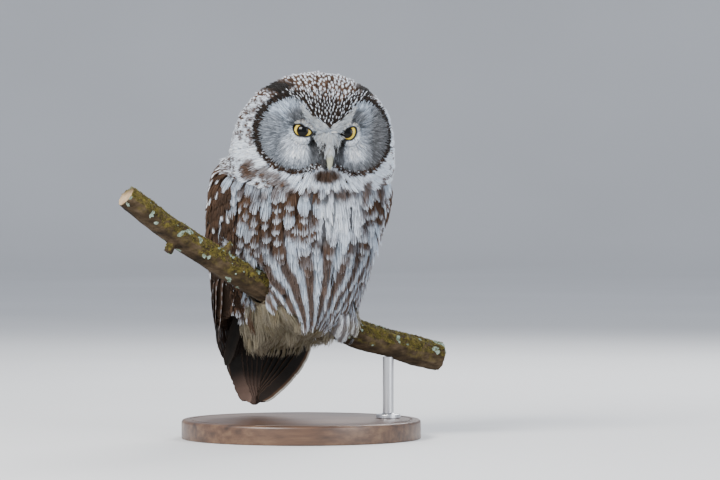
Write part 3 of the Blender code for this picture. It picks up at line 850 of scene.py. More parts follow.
collar = (  # middle (in the body's frame), half width, half height and strength of each brown patch
    ((-57.8, -1.9, 197.0), 8.0, 8.5, 1.0),
    ((-50.0, -13.0, 195.0), 6.0, 5.0, 0.8),
    ((-44.5, -18.0, 190.5), 6.5, 5.5, 0.9),
    ((-38.0, -21.5, 185.5), 5.5, 5.5, 0.85),
    ((-32.0, -23.0, 178.0), 5.5, 6.0, 0.9),
    ((-57.9, 1.8, 175.0), 7.0, 4.5, 0.8),
    ((-50.0, -10.0, 176.5), 5.5, 4.0, 0.8),
    ((-17.0, -27.9, 180.5), 6.5, 4.2, 0.65),
    ((6.5, -29.0, 178.5), 6.5, 5.2, 0.95),
    ((28.0, -25.0, 181.5), 5.5, 8.5, 0.95),
    ((44.0, -16.5, 180.5), 5.5, 8.5, 0.9),
    ((-6.7, -31.0, 192.0), 10.0, 5.0, 1.0),
)


def collarAt(spots):
    # How brown the collar and the top of the breast are; the patches' edges are frayed.
    b = toBody(spots)
    frayed = 0.22 * cloud(spots, 0.0018, 21.0)
    most = np.zeros(b.shape[:-1])
    for middle, wide, high, strength in collar:
        away = b - np.array(middle) * mm
        level = np.hypot(away[..., 0], away[..., 1]) / (wide * mm)
        reach = np.hypot(level, away[..., 2] / (high * mm)) + frayed
        most = np.maximum(most, strength * smoothStep(1.15, 0.80, reach))
    return most


def paintNeck(root, u, v, who, spots):
    # Pale at the sides of the neck, brown with big white spots behind.
    b, h = toBody(root), toHead(root)
    behind = smoothStep(0.012, 0.030, b[..., 1])
    side = smoothStep(0.004, -0.003, h[..., 2]) * smoothStep(-0.018, -0.012, h[..., 2])
    brownish = np.clip(0.75 + 0.3 * side + 0.9 * cloud(root, 0.004, 3.0), 0, 1)
    brownish = brownish * smoothStep(-0.024, -0.012, b[..., 1])
    patch = (who[..., 0] < 0.62 * brownish) * smoothStep(0.30, 0.42, v)
    patch = patch * smoothStep(0.90, 0.80, v + 0.15 * np.abs(u))
    # A white crescent under the disc.
    along = 0.82 * (h[..., 0] + 0.048) - 0.577 * (h[..., 2] + 0.016)
    level = 0.577 * (h[..., 0] + 0.048) + 0.82 * (h[..., 2] + 0.016)
    crescent = smoothStep(1.25, 0.8, np.hypot(along / 0.014, level / 0.0055))
    tone = mix(mix(tones["cool"], tones["white"], 0.4 + 0.6 * v), tones["brown"], patch * (1 - crescent))
    tone = mix(tone, tones["white"], crescent * smoothStep(0.2, 0.5, v))
    chin = oval(toHead(spots), 0.0, -0.0285, 0.0110, 0.0050)
    worn = 0.55 + 0.45 * smoothStep(0.08, 0.30, who[..., 3])
    brown = mix(tones["brown"], tones["warm"], 0.5 * who[..., 1]) * 0.9
    tone = mix(tone, brown, collarAt(spots) * 0.95 * worn)
    tone = mix(tone, mix(tones["umber"], tones["brown"], who[..., 1]), chin * 0.95)
    spotted = mix(tones["brown"], tones["white"], blot(u, v, 0.80, 0.60, 0.19))
    return mix(tone, spotted, behind)


def streakAcross(b):
    # A measure across the belly that stays the same down the lie of the coat.
    heights = np.array((80, 95, 115, 135, 155, 175)) * mm
    drawn = np.interp(b[..., 2], heights, (4.56, 3.15, 1.98, 1.39, 1.12, 1.0))
    middle = -0.004
    turn = np.arctan2(np.abs(b[..., 0] - middle), 0.035 - b[..., 1])
    return np.sign(b[..., 0] - middle) * 0.062 * turn * drawn


def ventEdge(b):
    # The height at which the white feathers of the belly end over buff ones.
    across = np.array((-45, -40, -32, -26, -14, -4, 8, 45)) * mm
    return np.interp(b[..., 0], across, np.array((102, 94, 91.5, 87, 82.5, 80, 77, 96)) * mm)


def paintBreast(root, u, v, who, spots):
    # High up, brown feathers with round white ends; lower down the brown runs together in long streaks.
    b, at = toBody(root), toBody(spots)
    z = b[..., 2]
    low = smoothStep(0.156, 0.136, z)
    # Each tuft runs from bluish-grey at its root and sides to white at its end: painted shade on the rounded
    # feather.
    ground = mix(tones["cool"] * 0.85, tones["white"], smoothStep(0.45, 0.95, v - 0.15 * np.abs(u)))
    ground = mix(ground, tones["cool"], 0.5 * who[..., 2] * (1 - 0.6 * low))
    ground = mix(tones["grey"], ground, smoothStep(0.10, 0.35, v))  # the down at the root
    bright = smoothStep(-0.012, -0.008, at[..., 0]) * smoothStep(0.030, 0.018, at[..., 0])
    bright = bright * smoothStep(0.140, 0.152, at[..., 2]) * smoothStep(0.180, 0.172, at[..., 2])
    ground = mix(ground, tones["white"], 0.85 * bright * smoothStep(0.1, 0.3, v))
    # Feather ends: an oval of white in brown.
    ends = (1 - blot(u, v, 0.845, 0.74, 0.155, 0.30)) * smoothStep(0.192, 0.184, z)
    ends = ends * smoothStep(-0.50, -0.20, cloud(root, 0.012, 8.0))
    across = streakAcross(at) + 0.0035 * cloud(spots, 0.014, 5.0)
    period = np.where(across < 0, 0.031, 0.023)
    wave = np.abs((across / period + 0.30) % 1 - 0.5) * 2
    share = 0.60 + 0.16 * (who[..., 0] - 0.5)
    streak = smoothStep(share + 0.14, share - 0.14, wave) * (1 - 0.55 * smoothStep(0.9, 1.0, v))
    mask = ends * (1 - low) + 0.95 * streak * low
    brown = mix(tones["brown"] * 0.75, tones["warm"] * 0.85, who[..., 1] * (0.5 + 0.4 * v))
    strip = smoothStep(-0.0570, -0.0600, b[..., 0]) * smoothStep(0.145, 0.155, z)  # by the wing's bend
    tone = mix(ground, brown, np.clip(mask, 0, 1) * (1 - 0.90 * bright) * (1 - 0.7 * strip))
    tone = mix(tone, brown, 0.95 * collarAt(spots))
    under = smoothStep(0.0010, -0.0010, z - ventEdge(b) - 0.011 - 0.005 * (who[..., 0] - 0.5))
    tone = mix(tone, paintVent(root, u, v, who, spots), under)
    # The parting down the breast is darkened as painted shade.
    return tone * (1 - 0.75 * partingShadeAt(spots))[..., None]


def partingShadeAt(spots):
    # Painted shade in the parting down the middle of the breast.
    b = toBody(spots)
    middle = 0.0003 - 0.0065 * smoothStep(0.168, 0.105, b[..., 2])
    half = np.interp(b[..., 2], (0.120, 0.150, 0.165, 0.182), (0.0003, 0.0006, 0.0012, 0.0014))
    reach = np.abs(b[..., 0] - middle) / half
    inside = smoothStep(0.110, 0.150, b[..., 2]) * smoothStep(0.186, 0.182, b[..., 2]) * (b[..., 1] < 0)
    return smoothStep(1.3, 0.6, reach) * inside


def paintBack(root, u, v, who, spots):
    spot = blot(np.abs(u) - 0.35, v, 0.78, 0.42, 0.13) * (who[..., 0] < 0.55)
    ground = mix(tones["brown"], tones["warm"], 0.6 * who[..., 1])
    ground = ground * (0.75 + 0.35 * v)[..., None]
    return mix(ground, tones["white"] * 0.9, spot * 0.9)


def paintCovert(root, u, v, who, spots):
    spot = blot(u - 0.15, v, 0.76, 0.46, 0.20) * (who[..., 0] < 0.32)
    # Under the long feathers the coverts lose their spots and darken, the darkening being painted shade.
    inner = smoothStep(0.140, 0.130, toBody(root)[..., 2])  # under the long feathers
    spot = spot * (1 - inner)
    ground = mix(tones["umber"], tones["brown"], (0.4 + 0.6 * who[..., 1]) * (1 - 0.6 * inner))
    rim = smoothStep(0.90, 1.0, v) * 0.35
    ground = mix(ground, tones["buff"], rim)
    return mix(ground, tones["white"], spot * 0.95)


def paintVent(root, u, v, who, spots):
    ground = mix(tones["buff"], tones["cream"], 0.18 * who[..., 1] + 0.12 * v)
    return mix(ground, tones["brown"], 0.35 * smoothStep(0.4, 0.2, np.abs(u)) * who[..., 0])


def paintLeg(root, u, v, who, spots):
    ground = mix(tones["cream"], tones["white"], 0.3 + 0.7 * who[..., 1])
    across = toBody(spots)[..., 0] + 0.0010 * cloud(spots, 0.006, 2.0)
    streak = smoothStep(0.30, 0.55, np.abs((across / 0.0062) % 1 - 0.5) * 2)
    return mix(ground, tones["brown"], 0.8 * streak * (toBody(spots)[..., 2] < 0.105))


def paintFoot(root, u, v, who, spots):
    return mix(tones["cream"], tones["buff"], 0.5 * who[..., 0]) * (0.8 + 0.3 * v)[..., None]


# How the coat lies: each flow gives the way its feathers point at places on the skin.
def headFlow(points):
    h = toHead(points)
    away = h - np.array((0.0, -0.046, -0.004))
    away[:, 2] -= 0.9 * np.maximum(h[:, 1], 0)
    return away @ headAxes.T


def faceFlow(points):
    h = toHead(points)
    across, _, up = pose["eyeInHead"]
    away = h - np.stack([np.sign(h[:, 0]) * across, h[:, 1], up + 0 * h[:, 0]], -1)
    return away @ headAxes.T


def browFlow(points):
    # Up and out along the brows, down over the bridge.
    x, _, z = toHead(points).T
    rising = smoothStep(0.0005, 0.0060, z)
    outward = np.sign(x) * 0.75 * rising - 50 * x * (1 - rising)
    way = np.stack([outward, 0 * rising, 1.65 * rising - 1], -1)
    return way @ headAxes.T


def billFlow(points):
    # Forward and down along the bill.
    h = toHead(points)
    way = np.array((-0.0005, -0.0520, -0.0260)) - h
    return unit(way) @ headAxes.T


def bodyFlow(points):
    # Down the body; on the belly it draws in to the legs.
    x, y, z = toBody(points).T
    side = np.sign(x)
    draw = smoothStep(0.175, 0.095, z) * smoothStep(0.035, 0.0, y)
    inward = -side * np.clip(np.abs(x) - 0.004, 0, 0.03) / 0.03
    way = np.stack([inward * (0.12 + 0.62 * draw), 0.25 + 0 * draw, -1 + 0 * draw], -1)
    high = smoothStep(0.170, 0.195, z) * smoothStep(0.040, 0.020, y)
    way[:, 0] += side * 0.35 * high * np.clip(np.abs(x) / 0.03, 0, 1)
    return way @ bodyAxes.T


def ventFlow(points):
    way = np.broadcast_to(np.array((-0.18, 0.35, -1.0)), points.shape)
    return way @ bodyAxes.T


def wingFlow(points):
    b = toBody(points)
    way = np.stack([-np.sign(b[:, 0]) * 0.18, 0.34 + 0 * b[:, 0], -np.ones(len(b))], -1)
    return way @ bodyAxes.T


def downFlow(points):
    return np.broadcast_to(np.array((0.0, -0.15, -1.0)), points.shape).astype(float)


growSettings = {
    "perchGap": 0.4 * mm,  # from each root to the perch
    "wingGap": 3.5 * mm,  # from each root of the vent to the wings
    "breastStep": 7.6 * mm,  # down each column of the breast
    "breastApart": 4.4 * mm,
    "breastFill": 3.6 * mm,  # spacing of those that fill between the columns
    "breastGap": 4.8 * mm,
    "longestColumn": 60,
}


# What grows where: each keep function picks the places of one kind of feather.
def besideBill(h):
    x, y, z = h.T
    return (np.abs(x) < 0.009) & (z > -0.0175) & (z < -0.004) & (y < -0.03)


def keepFace(points, parts):
    h = toHead(points)
    bill = (np.abs(h[:, 0]) > 0.0042) | (h[:, 2] > -0.004) | (h[:, 2] < -0.024)  # clear of the bill
    disc = ((faceReach(h) < 0.97) | besideBill(h)) & (wedgeEdge(h) < 0)
    return onParts(parts, "head") & disc & (eyeReach(h) > 0.0072) & bill & (browEdge(h) < -0.0002)


def keepBrow(points, parts):
    h = toHead(points)
    bill = (np.abs(h[:, 0]) > 0.0042) | (h[:, 2] > -0.004)
    return (h[:, 1] < -0.02) & (browEdge(h) > -0.0004) & (eyeReach(h) > 0.0066) & bill


def keepRuff(points, parts):
    h = toHead(points)
    reach = faceReach(h)
    band = (reach > 0.95) & (reach < 1.075) & (wedgeEdge(h) < 0.002) & ~besideBill(h)
    return band & onParts(parts, "head", "neck")


def keepForehead(points, parts):
    h = toHead(points)
    _, y, z = h.T
    return (y < -0.012) & (wedgeEdge(h) > -0.0003) & (z < 0.0285) & (z > 0)


def keepCrown(points, parts):
    h = toHead(points)
    _, y, z = h.T
    front = ((wedgeEdge(h) > -0.0005) & (z >= 0.0275)) | (z > 0.0225)
    rest = (y > -0.012) & (z > 0.004 - 0.4 * (y + 0.012))
    outside = faceReach(h) > 1.065
    return onParts(parts, "head") & (front | rest) & outside


def keepNeck(points, parts):
    taken = (faceReach(toHead(points)) < 1.065) | keepCrown(points, parts) | keepForehead(points, parts)
    return onParts(parts, "head") & ~taken & (toHead(points)[:, 2] < 0.0225)


def clearOfPerch(points):
    clear = np.ones(len(points), bool)
    for i, point in enumerate(points):
        place, normal, _, _ = perchTree.find_nearest(point, 0.03)
        clear[i] = place is None or (Vector(point) - place).dot(normal) > growSettings["perchGap"]
    return clear


def bendEdge(b):
    # How far back the feathers of the breast cover the bend of the wing.
    return np.interp(b[:, 2], (0.140, 0.150, 0.172, 0.190, 0.200), (0.016, 0.022, 0.0185, 0.0205, 0.026))


def keepBreast(points, parts):
    b = toBody(points)
    bend = onParts(parts, "wing_right") & (b[:, 1] < bendEdge(b))
    return ((onParts(parts, "trunk", "neck") & (b[:, 1] < 0.040)) | bend) & clearOfPerch(points)


def keepBack(points, parts):
    b = toBody(points)
    return onParts(parts, "trunk", "neck") & (b[:, 1] >= 0.038) & clearOfPerch(points)


def keepVent(points, parts):
    # None grows where a folded wing lies over the rump.
    free = [wingTree.find_nearest(point, growSettings["wingGap"])[0] is None for point in points]
    outside = np.array(free, bool) | (toBody(points)[:, 1] < 0.052)
    return onParts(parts, "vent") & outside & clearOfPerch(points)


def keepLegs(points, parts):
    return onParts(parts, "leg_left", "leg_right") & clearOfPerch(points)


def keepFeet(points, parts):
    return onParts(parts, "foot_left", "foot_right") & clearOfPerch(points)


def grow(keep, spacing, flow, style, paint, seed, obstacle=None, roots=None, surface=None):
    roots = (surface or skin).scatter(keep, spacing, seed) if roots is None else roots
    print("owl:", paint.__name__, "grows", len(roots), "tufts")
    trianglesEach = style["locks"] * (6 * len(style["rings"]) - 2)
    share = tuftSettings["share"] // trianglesEach
    return [
        growTufts(roots[start : start + share], flow, style, paint, seed + number, obstacle, surface)
        for number, start in enumerate(range(0, len(roots), share))
    ]


def tract(keep, flow, starts, step, apart):
    # Roots in columns that run with the lie of the coat, neighbours half a step apart.
    place, normal, _, _ = skin.nearest(starts)
    way = onto(flow(place), normal)
    place, normal, _, faces = skin.nearest(place + way * (np.arange(len(starts)) % 2)[:, None] * step / 2)
    kept = []
    for _ in range(growSettings["longestColumn"]):
        allowed = keep(place, skin.partOfFace[faces])
        for spot, good in zip(place, allowed):
            if good and all(((other - spot) ** 2).sum() > apart**2 for other in kept):
                kept.append(spot)
        for _ in range(3):
            way = onto(flow(place), normal)
            place, normal, _, faces = skin.nearest(place + way * step / 3)
    return np.array(kept)


perchTree = treeOf("perch")
wingTree = treeOf("wing_left", "wing_right", "primaries_left", "primaries_right")

fewRings, manyRings = (0.0, 0.45, 0.8), (0.0, 0.4, 0.68, 0.88)
faceStyle = {
    "length": 6.0 * mm, "halfWidth": 0.9 * mm, "locks": 4, "rings": fewRings, "lockWidth": 0.36 * mm,
    "lift": 0.85, "ruffle": 0.10, "stray": 0.06, "narrow": 0.5, "thick": 0.3, "patchy": 0.26, "wander": 0.05,
    "scale": lambda p: np.minimum(
        np.interp(eyeReach(toHead(p)), (0.007, 0.016), (0.6, 1.1)),
        np.interp(faceReach(toHead(p)), (0.72, 0.95), (1.1, 0.40)),
    ),
}
browStyle = {
    "length": 5.2 * mm, "halfWidth": 0.6 * mm, "locks": 4, "rings": fewRings, "lockWidth": 0.26 * mm,
    "lift": 1.10, "stray": 0.10, "narrow": 0.4,
}
bristleStyle = {
    "length": 6.5 * mm, "halfWidth": 0.5 * mm, "locks": 3, "rings": (0.0, 0.3, 0.6, 0.85),
    "lockWidth": 0.20 * mm, "lift": 1.0, "stray": 0.10, "narrow": 0.5, "stiff": 9.0,
}
loreStyle = {**bristleStyle, "length": 8.5 * mm, "locks": 4, "halfWidth": 0.7 * mm, "lockWidth": 0.26 * mm}
ruffStyle = {
    "length": 3.8 * mm, "halfWidth": 0.9 * mm, "locks": 5, "rings": (0.0, 0.5, 0.75), "lockWidth": 0.40 * mm,
    "lift": 1.05, "stray": 0.10, "narrow": 0.5,
}
foreheadStyle = {
    "length": 5.6 * mm, "halfWidth": 1.05 * mm, "locks": 7, "rings": (0.0, 0.55, 0.72, 0.9),
    "lockWidth": 0.38 * mm, "lift": 0.95, "stray": 0.05, "narrow": 0.5,
    "wander": 0.03, "vary": 0.06, "round": 0.35,
}
crownStyle = {
    "length": 7.4 * mm, "halfWidth": 1.6 * mm, "locks": 9, "rings": (0.0, 0.55, 0.74, 0.9),
    "lockWidth": 0.50 * mm, "lift": 0.95, "stray": 0.05, "narrow": 0.5,
    "wander": 0.03, "round": 0.3, "vary": 0.06,
}
neckStyle = {
    "length": 8.5 * mm, "halfWidth": 2.1 * mm, "locks": 11, "rings": manyRings, "lockWidth": 0.38 * mm,
    "lift": 0.95, "stray": 0.12, "narrow": 0.4, "round": 0.3,
}
breastStyle = {
    "length": 17.0 * mm, "halfWidth": 5.2 * mm, "locks": 24, "rings": manyRings, "lockWidth": 0.44 * mm,
    "lift": 0.92, "stray": 0.12, "narrow": 0.48, "round": 0.42, "ragged": 0.07, "wander": 0.08, "loose": 0.06,
    "scale": lambda p: np.interp(toBody(p)[:, 2], (0.10, 0.17, 0.19, 0.20), (1.0, 1.0, 0.8, 0.65)),
}
backStyle = {
    "length": 15.0 * mm, "halfWidth": 4.2 * mm, "locks": 10, "rings": manyRings, "lockWidth": 0.95 * mm,
    "lift": 0.92, "stray": 0.08, "narrow": 0.4, "round": 0.25, "ragged": 0.05, "wander": 0.03,
}
covertStyle = {
    "length": 12.0 * mm, "halfWidth": 3.2 * mm, "locks": 9, "rings": manyRings, "lockWidth": 0.8 * mm,
    "lift": 1.0, "stray": 0.05, "narrow": 0.5, "round": 0.22, "ragged": 0.03, "wander": 0.02, "ruffle": 0.08,
    "stiff": 0.5,
}


def ventTip(across):
    # Where the buff feathers under the tail end.
    return np.interp(across, np.array((-30, -22, -15, 10)) * mm, np.array((54, 56, 67, 68)) * mm)


ventStyle = {
    "length": 21.0 * mm, "halfWidth": 4.5 * mm, "locks": 13, "rings": manyRings, "lockWidth": 0.7 * mm,
    "lift": 0.95, "stray": 0.12, "narrow": 0.3, "ragged": 0.14, "wander": 0.14, "loose": 0.12,
    "scale": lambda p: np.clip((toBody(p)[:, 2] - ventTip(toBody(p)[:, 0])) / 0.021, 0.15, 1.0),
}
legStyle = {
    "length": 13.0 * mm, "halfWidth": 2.4 * mm, "locks": 12, "rings": manyRings, "lockWidth": 0.40 * mm,
    "lift": 0.95, "stray": 0.10, "narrow": 0.4, "ragged": 0.12,
    "scale": lambda p: np.clip((p[:, 2] - 0.070) / 0.013, 0.25, 1.0),
}
footStyle = {
    "length": 3.4 * mm, "halfWidth": 0.7 * mm, "locks": 4, "rings": fewRings, "lockWidth": 0.32 * mm,
    "lift": 1.0, "stray": 0.2, "narrow": 0.5,
}

headCoat = (  # name, where it grows, spacing in mm, lie, style, colours and seed
    ("coatFace", keepFace, 1.25, faceFlow, faceStyle, paintFace, 11),
    ("coatBrow", keepBrow, 0.80, browFlow, browStyle, paintBrow, 12),
    ("coatRuff", keepRuff, 1.35, headFlow, ruffStyle, paintRuff, 13),
    ("coatForehead", keepForehead, 1.75, headFlow, foreheadStyle, paintForehead, 14),
    ("coatCrown", keepCrown, 2.5, headFlow, crownStyle, paintCrown, 15),
    ("coatNeck", keepNeck, 2.45, headFlow, neckStyle, paintNeck, 16),
)
for name, keep, spacing, *rest in headCoat:
    coatPiece(name, grow(keep, spacing * mm, *rest))


def makeBristles():
    # Filaments that leave the face round the bill and lie over it.
    whole = cadShape("head", grow=-skinSettings["faceDepth"])
    bill = cadShape("bill_upper", "bill_lower")
    copy = bpy.data.meshes.new("copy")
    bill.to_mesh(copy)
    bill.free()
    whole.from_mesh(copy)
    bpy.data.meshes.remove(copy)
    base = evenSurface(remeshed(whole, "billAndFace", 0.9 * mm), 0.7 * mm)

    def keepPale(spots, parts):
        x, y, z = toHead(spots).T
        wide = np.interp(z, (-0.0100, -0.0065, -0.0050), (0.0026, 0.0034, 0.0052))
        return (np.abs(x) < wide) & (z > -0.0100) & (z < 0.004) & (y < -0.03)

    def keepDark(spots, parts):
        x, y, z = toHead(spots).T
        inner = np.interp(z, (-0.0185, -0.0120, -0.0050, 0.0), (0.0034, 0.0024, 0.0032, 0.0030))
        return (np.abs(x) > inner) & (np.abs(x) < 0.0090) & (z > -0.0185) & (z < 0.0) & (y < -0.03)

    parts = grow(keepPale, 0.75 * mm, billFlow, bristleStyle, paintBrow, 24, surface=base)
    return parts + grow(keepDark, 0.80 * mm, billFlow, loreStyle, paintLore, 25, surface=base)


def rootsOfBreast():
    # Columns down from a ring round the neck, and single ones wherever the columns leave room.
    turns = np.radians(np.arange(-118, 119, 9.0))
    ring = np.stack([0.06 * np.sin(turns), 0.02 - 0.05 * np.cos(turns), 0.197 + 0 * turns], -1)
    step, apart = growSettings["breastStep"], growSettings["breastApart"]
    roots = tract(keepBreast, bodyFlow, fromBody(ring), step, apart)
    filling = skin.scatter(keepBreast, growSettings["breastFill"], 23)
    least = growSettings["breastGap"] ** 2
    return np.concatenate([roots, [spot for spot in filling if ((roots - spot) ** 2).sum(1).min() > least]])


coatPiece("coatBristles", makeBristles())
bodyCoat = (  # as for the head; the breast has its roots laid out beforehand
    ("coatBreast", keepBreast, 0, bodyFlow, breastStyle, paintBreast, 17, perchTree, rootsOfBreast()),
    ("coatBack", keepBack, 4.8, bodyFlow, backStyle, paintBack, 18, perchTree),
    ("coatVent", keepVent, 3.8, ventFlow, ventStyle, paintVent, 20, perchTree),
    ("coatLegs", keepLegs, 2.4, downFlow, legStyle, paintLeg, 21, perchTree),
    ("coatFeet", keepFeet, 1.6, downFlow, footStyle, paintFoot, 22, perchTree),
)
for name, keep, spacing, *rest in bodyCoat:
    coatPiece(name, grow(keep, spacing * mm, *rest))
print("owl: the coat has", coatTotal, "triangles")

skinFinish = featherFinish("bareSkin", 0.85, 0.0)


def shadedSkinColours():
    p = skin.points
    h, b = toHead(p), toBody(p)
    zero = np.zeros(len(p))
    who = np.full((len(p), 4), 0.5)
    tone = paintBreast(p, zero + 0.5, zero + 0.5, who, p)
    tone = mix(tone, tones["brown"], 0.6 * smoothStep(0.085, 0.100, b[:, 2]))
    tone = mix(tone, paintBack(p, zero, zero + 0.5, who, p), smoothStep(0.035, 0.042, b[:, 1]))
    disc = smoothStep(1.02, 0.98, faceReach(h)) * (wedgeEdge(h) < 0)
    head = mix(paintCrown(p, zero, zero, who, p), faceTone(h), disc)
    tone = np.where(onParts(skin.part, "head")[:, None], head, tone)
    for names, paint in (
        (("wing_left", "wing_right"), paintCovert),
        (("vent",), paintVent),
        (("leg_left", "leg_right"), paintLeg),
        (("foot_left", "foot_right"), paintFoot),
    ):
        tone = np.where(onParts(skin.part, *names)[:, None], paint(p, zero, zero, who, p), tone)
    # The whole skin is darkened to 0.55 of the coat's colours, as painted shade under the feathers.
    return tone * 0.55


paintPoints(skin.mesh, "coatColour", shadedSkinColours())
skin.mesh.shade_smooth()
place("skinBody", skin.mesh, "plumage", *skinSettings["depth"], material=skinFinish)


# Eyes and lids.
eyeSettings = {
    "radius": 8.5 * mm,
    "gazeTurn": -5.5,  # degrees from straight ahead of the stand, both eyes alike
    "gazeRise": 4.0,
    "iris": 6.4 * mm,
    "pupil": 4.15 * mm,
    "bulge": 0.35 * mm,
    "openings": {  # corners of each opening seen from the front, in mm from the ball's middle
        -1: (
            (-7.1, 4.1), (-4.0, 4.2), (0.4, 2.5), (4.1, 0.6), (5.8, -0.5), (5.3, -1.7),
            (2.3, -2.9), (-1.1, -2.8), (-4.2, -2.3), (-6.0, -0.3), (-7.1, 2.5),
        ),
        1: (
            (-4.2, -1.4), (-2.6, 0.7), (-0.5, 2.3), (2.6, 3.5), (4.9, 3.9), (5.3, 2.3),
            (5.0, -0.6), (4.0, -2.6), (2.2, -4.2), (-0.8, -4.2), (-2.8, -3.6), (-4.1, -2.5),
        ),
    },
    "lidThick": 0.5 * mm,
    "rim": 0.095,  # radians of black at each lid's edge
    "lidEnd": 1.62,  # radians from the middle of each opening
    "lidSpacing": 0.68 * mm,
}


def loftRings(rings, closed=False):
    # Points and triangles of a closed body through rings that run anticlockwise about its length.
    count, size = rings.shape[:2]
    points = rings.reshape(-1, 3)
    i = np.arange(size)
    j = (i + 1) % size
    triangles = []
    for k in range(count if closed else count - 1):
        a, b = k * size, ((k + 1) % count) * size
        triangles += [np.stack([a + i, a + j, b + j], 1), np.stack([a + i, b + j, b + i], 1)]
    if not closed:
        points = np.concatenate([points, [rings[0].mean(0), rings[-1].mean(0)]])
        first, last, end = len(points) - 2, len(points) - 1, (count - 1) * size
        triangles.append(np.stack([j, i, 0 * i + first], 1))
        triangles.append(np.stack([i + end, j + end, 0 * i + last], 1))
    return points, np.concatenate(triangles)


def eyeFinish():
    finish = Finish("owlEye")
    reach = finish.attribute("fromPupil")["Fac"]
    p, i = eyeSettings["pupil"] / eyeSettings["radius"], eyeSettings["iris"] / eyeSettings["radius"]
    grain = finish.math("MULTIPLY", finish.noise(900.0, 2.0), 0.05)
    colour = finish.ramp(
        finish.math("ADD", reach, finish.math("SUBTRACT", grain, 0.025)),
        (p - 0.012, (0.002, 0.002, 0.002)),
        (p + 0.012, (0.34, 0.21, 0.015)),
        (p + 0.10, (0.56, 0.44, 0.07)),
        (i - 0.10, (0.54, 0.43, 0.08)),
        (i - 0.02, (0.30, 0.20, 0.03)),
        (i + 0.02, (0.006, 0.005, 0.004)),
    )
    finish.colour(colour)
    finish.set({"Roughness": 0.5, "Specular IOR Level": 0.0, "Coat Weight": 0.35, "Coat Roughness": 0.03})
    return finish.material


def makeEye(side, node):
    turn, rise = math.radians(eyeSettings["gazeTurn"]), math.radians(eyeSettings["gazeRise"])
    gaze = np.array((math.sin(turn) * math.cos(rise), -math.cos(turn) * math.cos(rise), math.sin(rise)))
    right = unit(np.cross(gaze, (0, 0, 1)))
    up = np.cross(right, gaze)
    theta = np.linspace(0.02, math.pi - 0.02, 64)[:, None]
    phi = np.linspace(0, 2 * math.pi, 72, endpoint=False)[None, :]
    radius = eyeSettings["radius"] + eyeSettings["bulge"] * np.exp(-((theta / 0.55) ** 2)) + 0 * phi
    ring = np.cos(phi)[..., None] * right + np.sin(phi)[..., None] * up
    points = radius[..., None] * (np.cos(theta)[..., None] * gaze + np.sin(theta)[..., None] * ring)
    centre = eyeCentres[side]
    points, triangles = loftRings((points + centre)[::-1])
    mesh = meshOf(node, points, triangles)
    away = points - centre
    cosine = (unit(away) * gaze).sum(-1)
    reach = np.where(cosine > 0, np.sqrt(np.clip(1 - cosine**2, 0, 1)), 1.5)
    mesh.attributes.new("fromPupil", "FLOAT", "POINT").data.foreach_set("value", reach.astype(np.float32))
    place("eyeball" + node[4:].title(), mesh, "eye_glass", node, material=eyeMaterial)


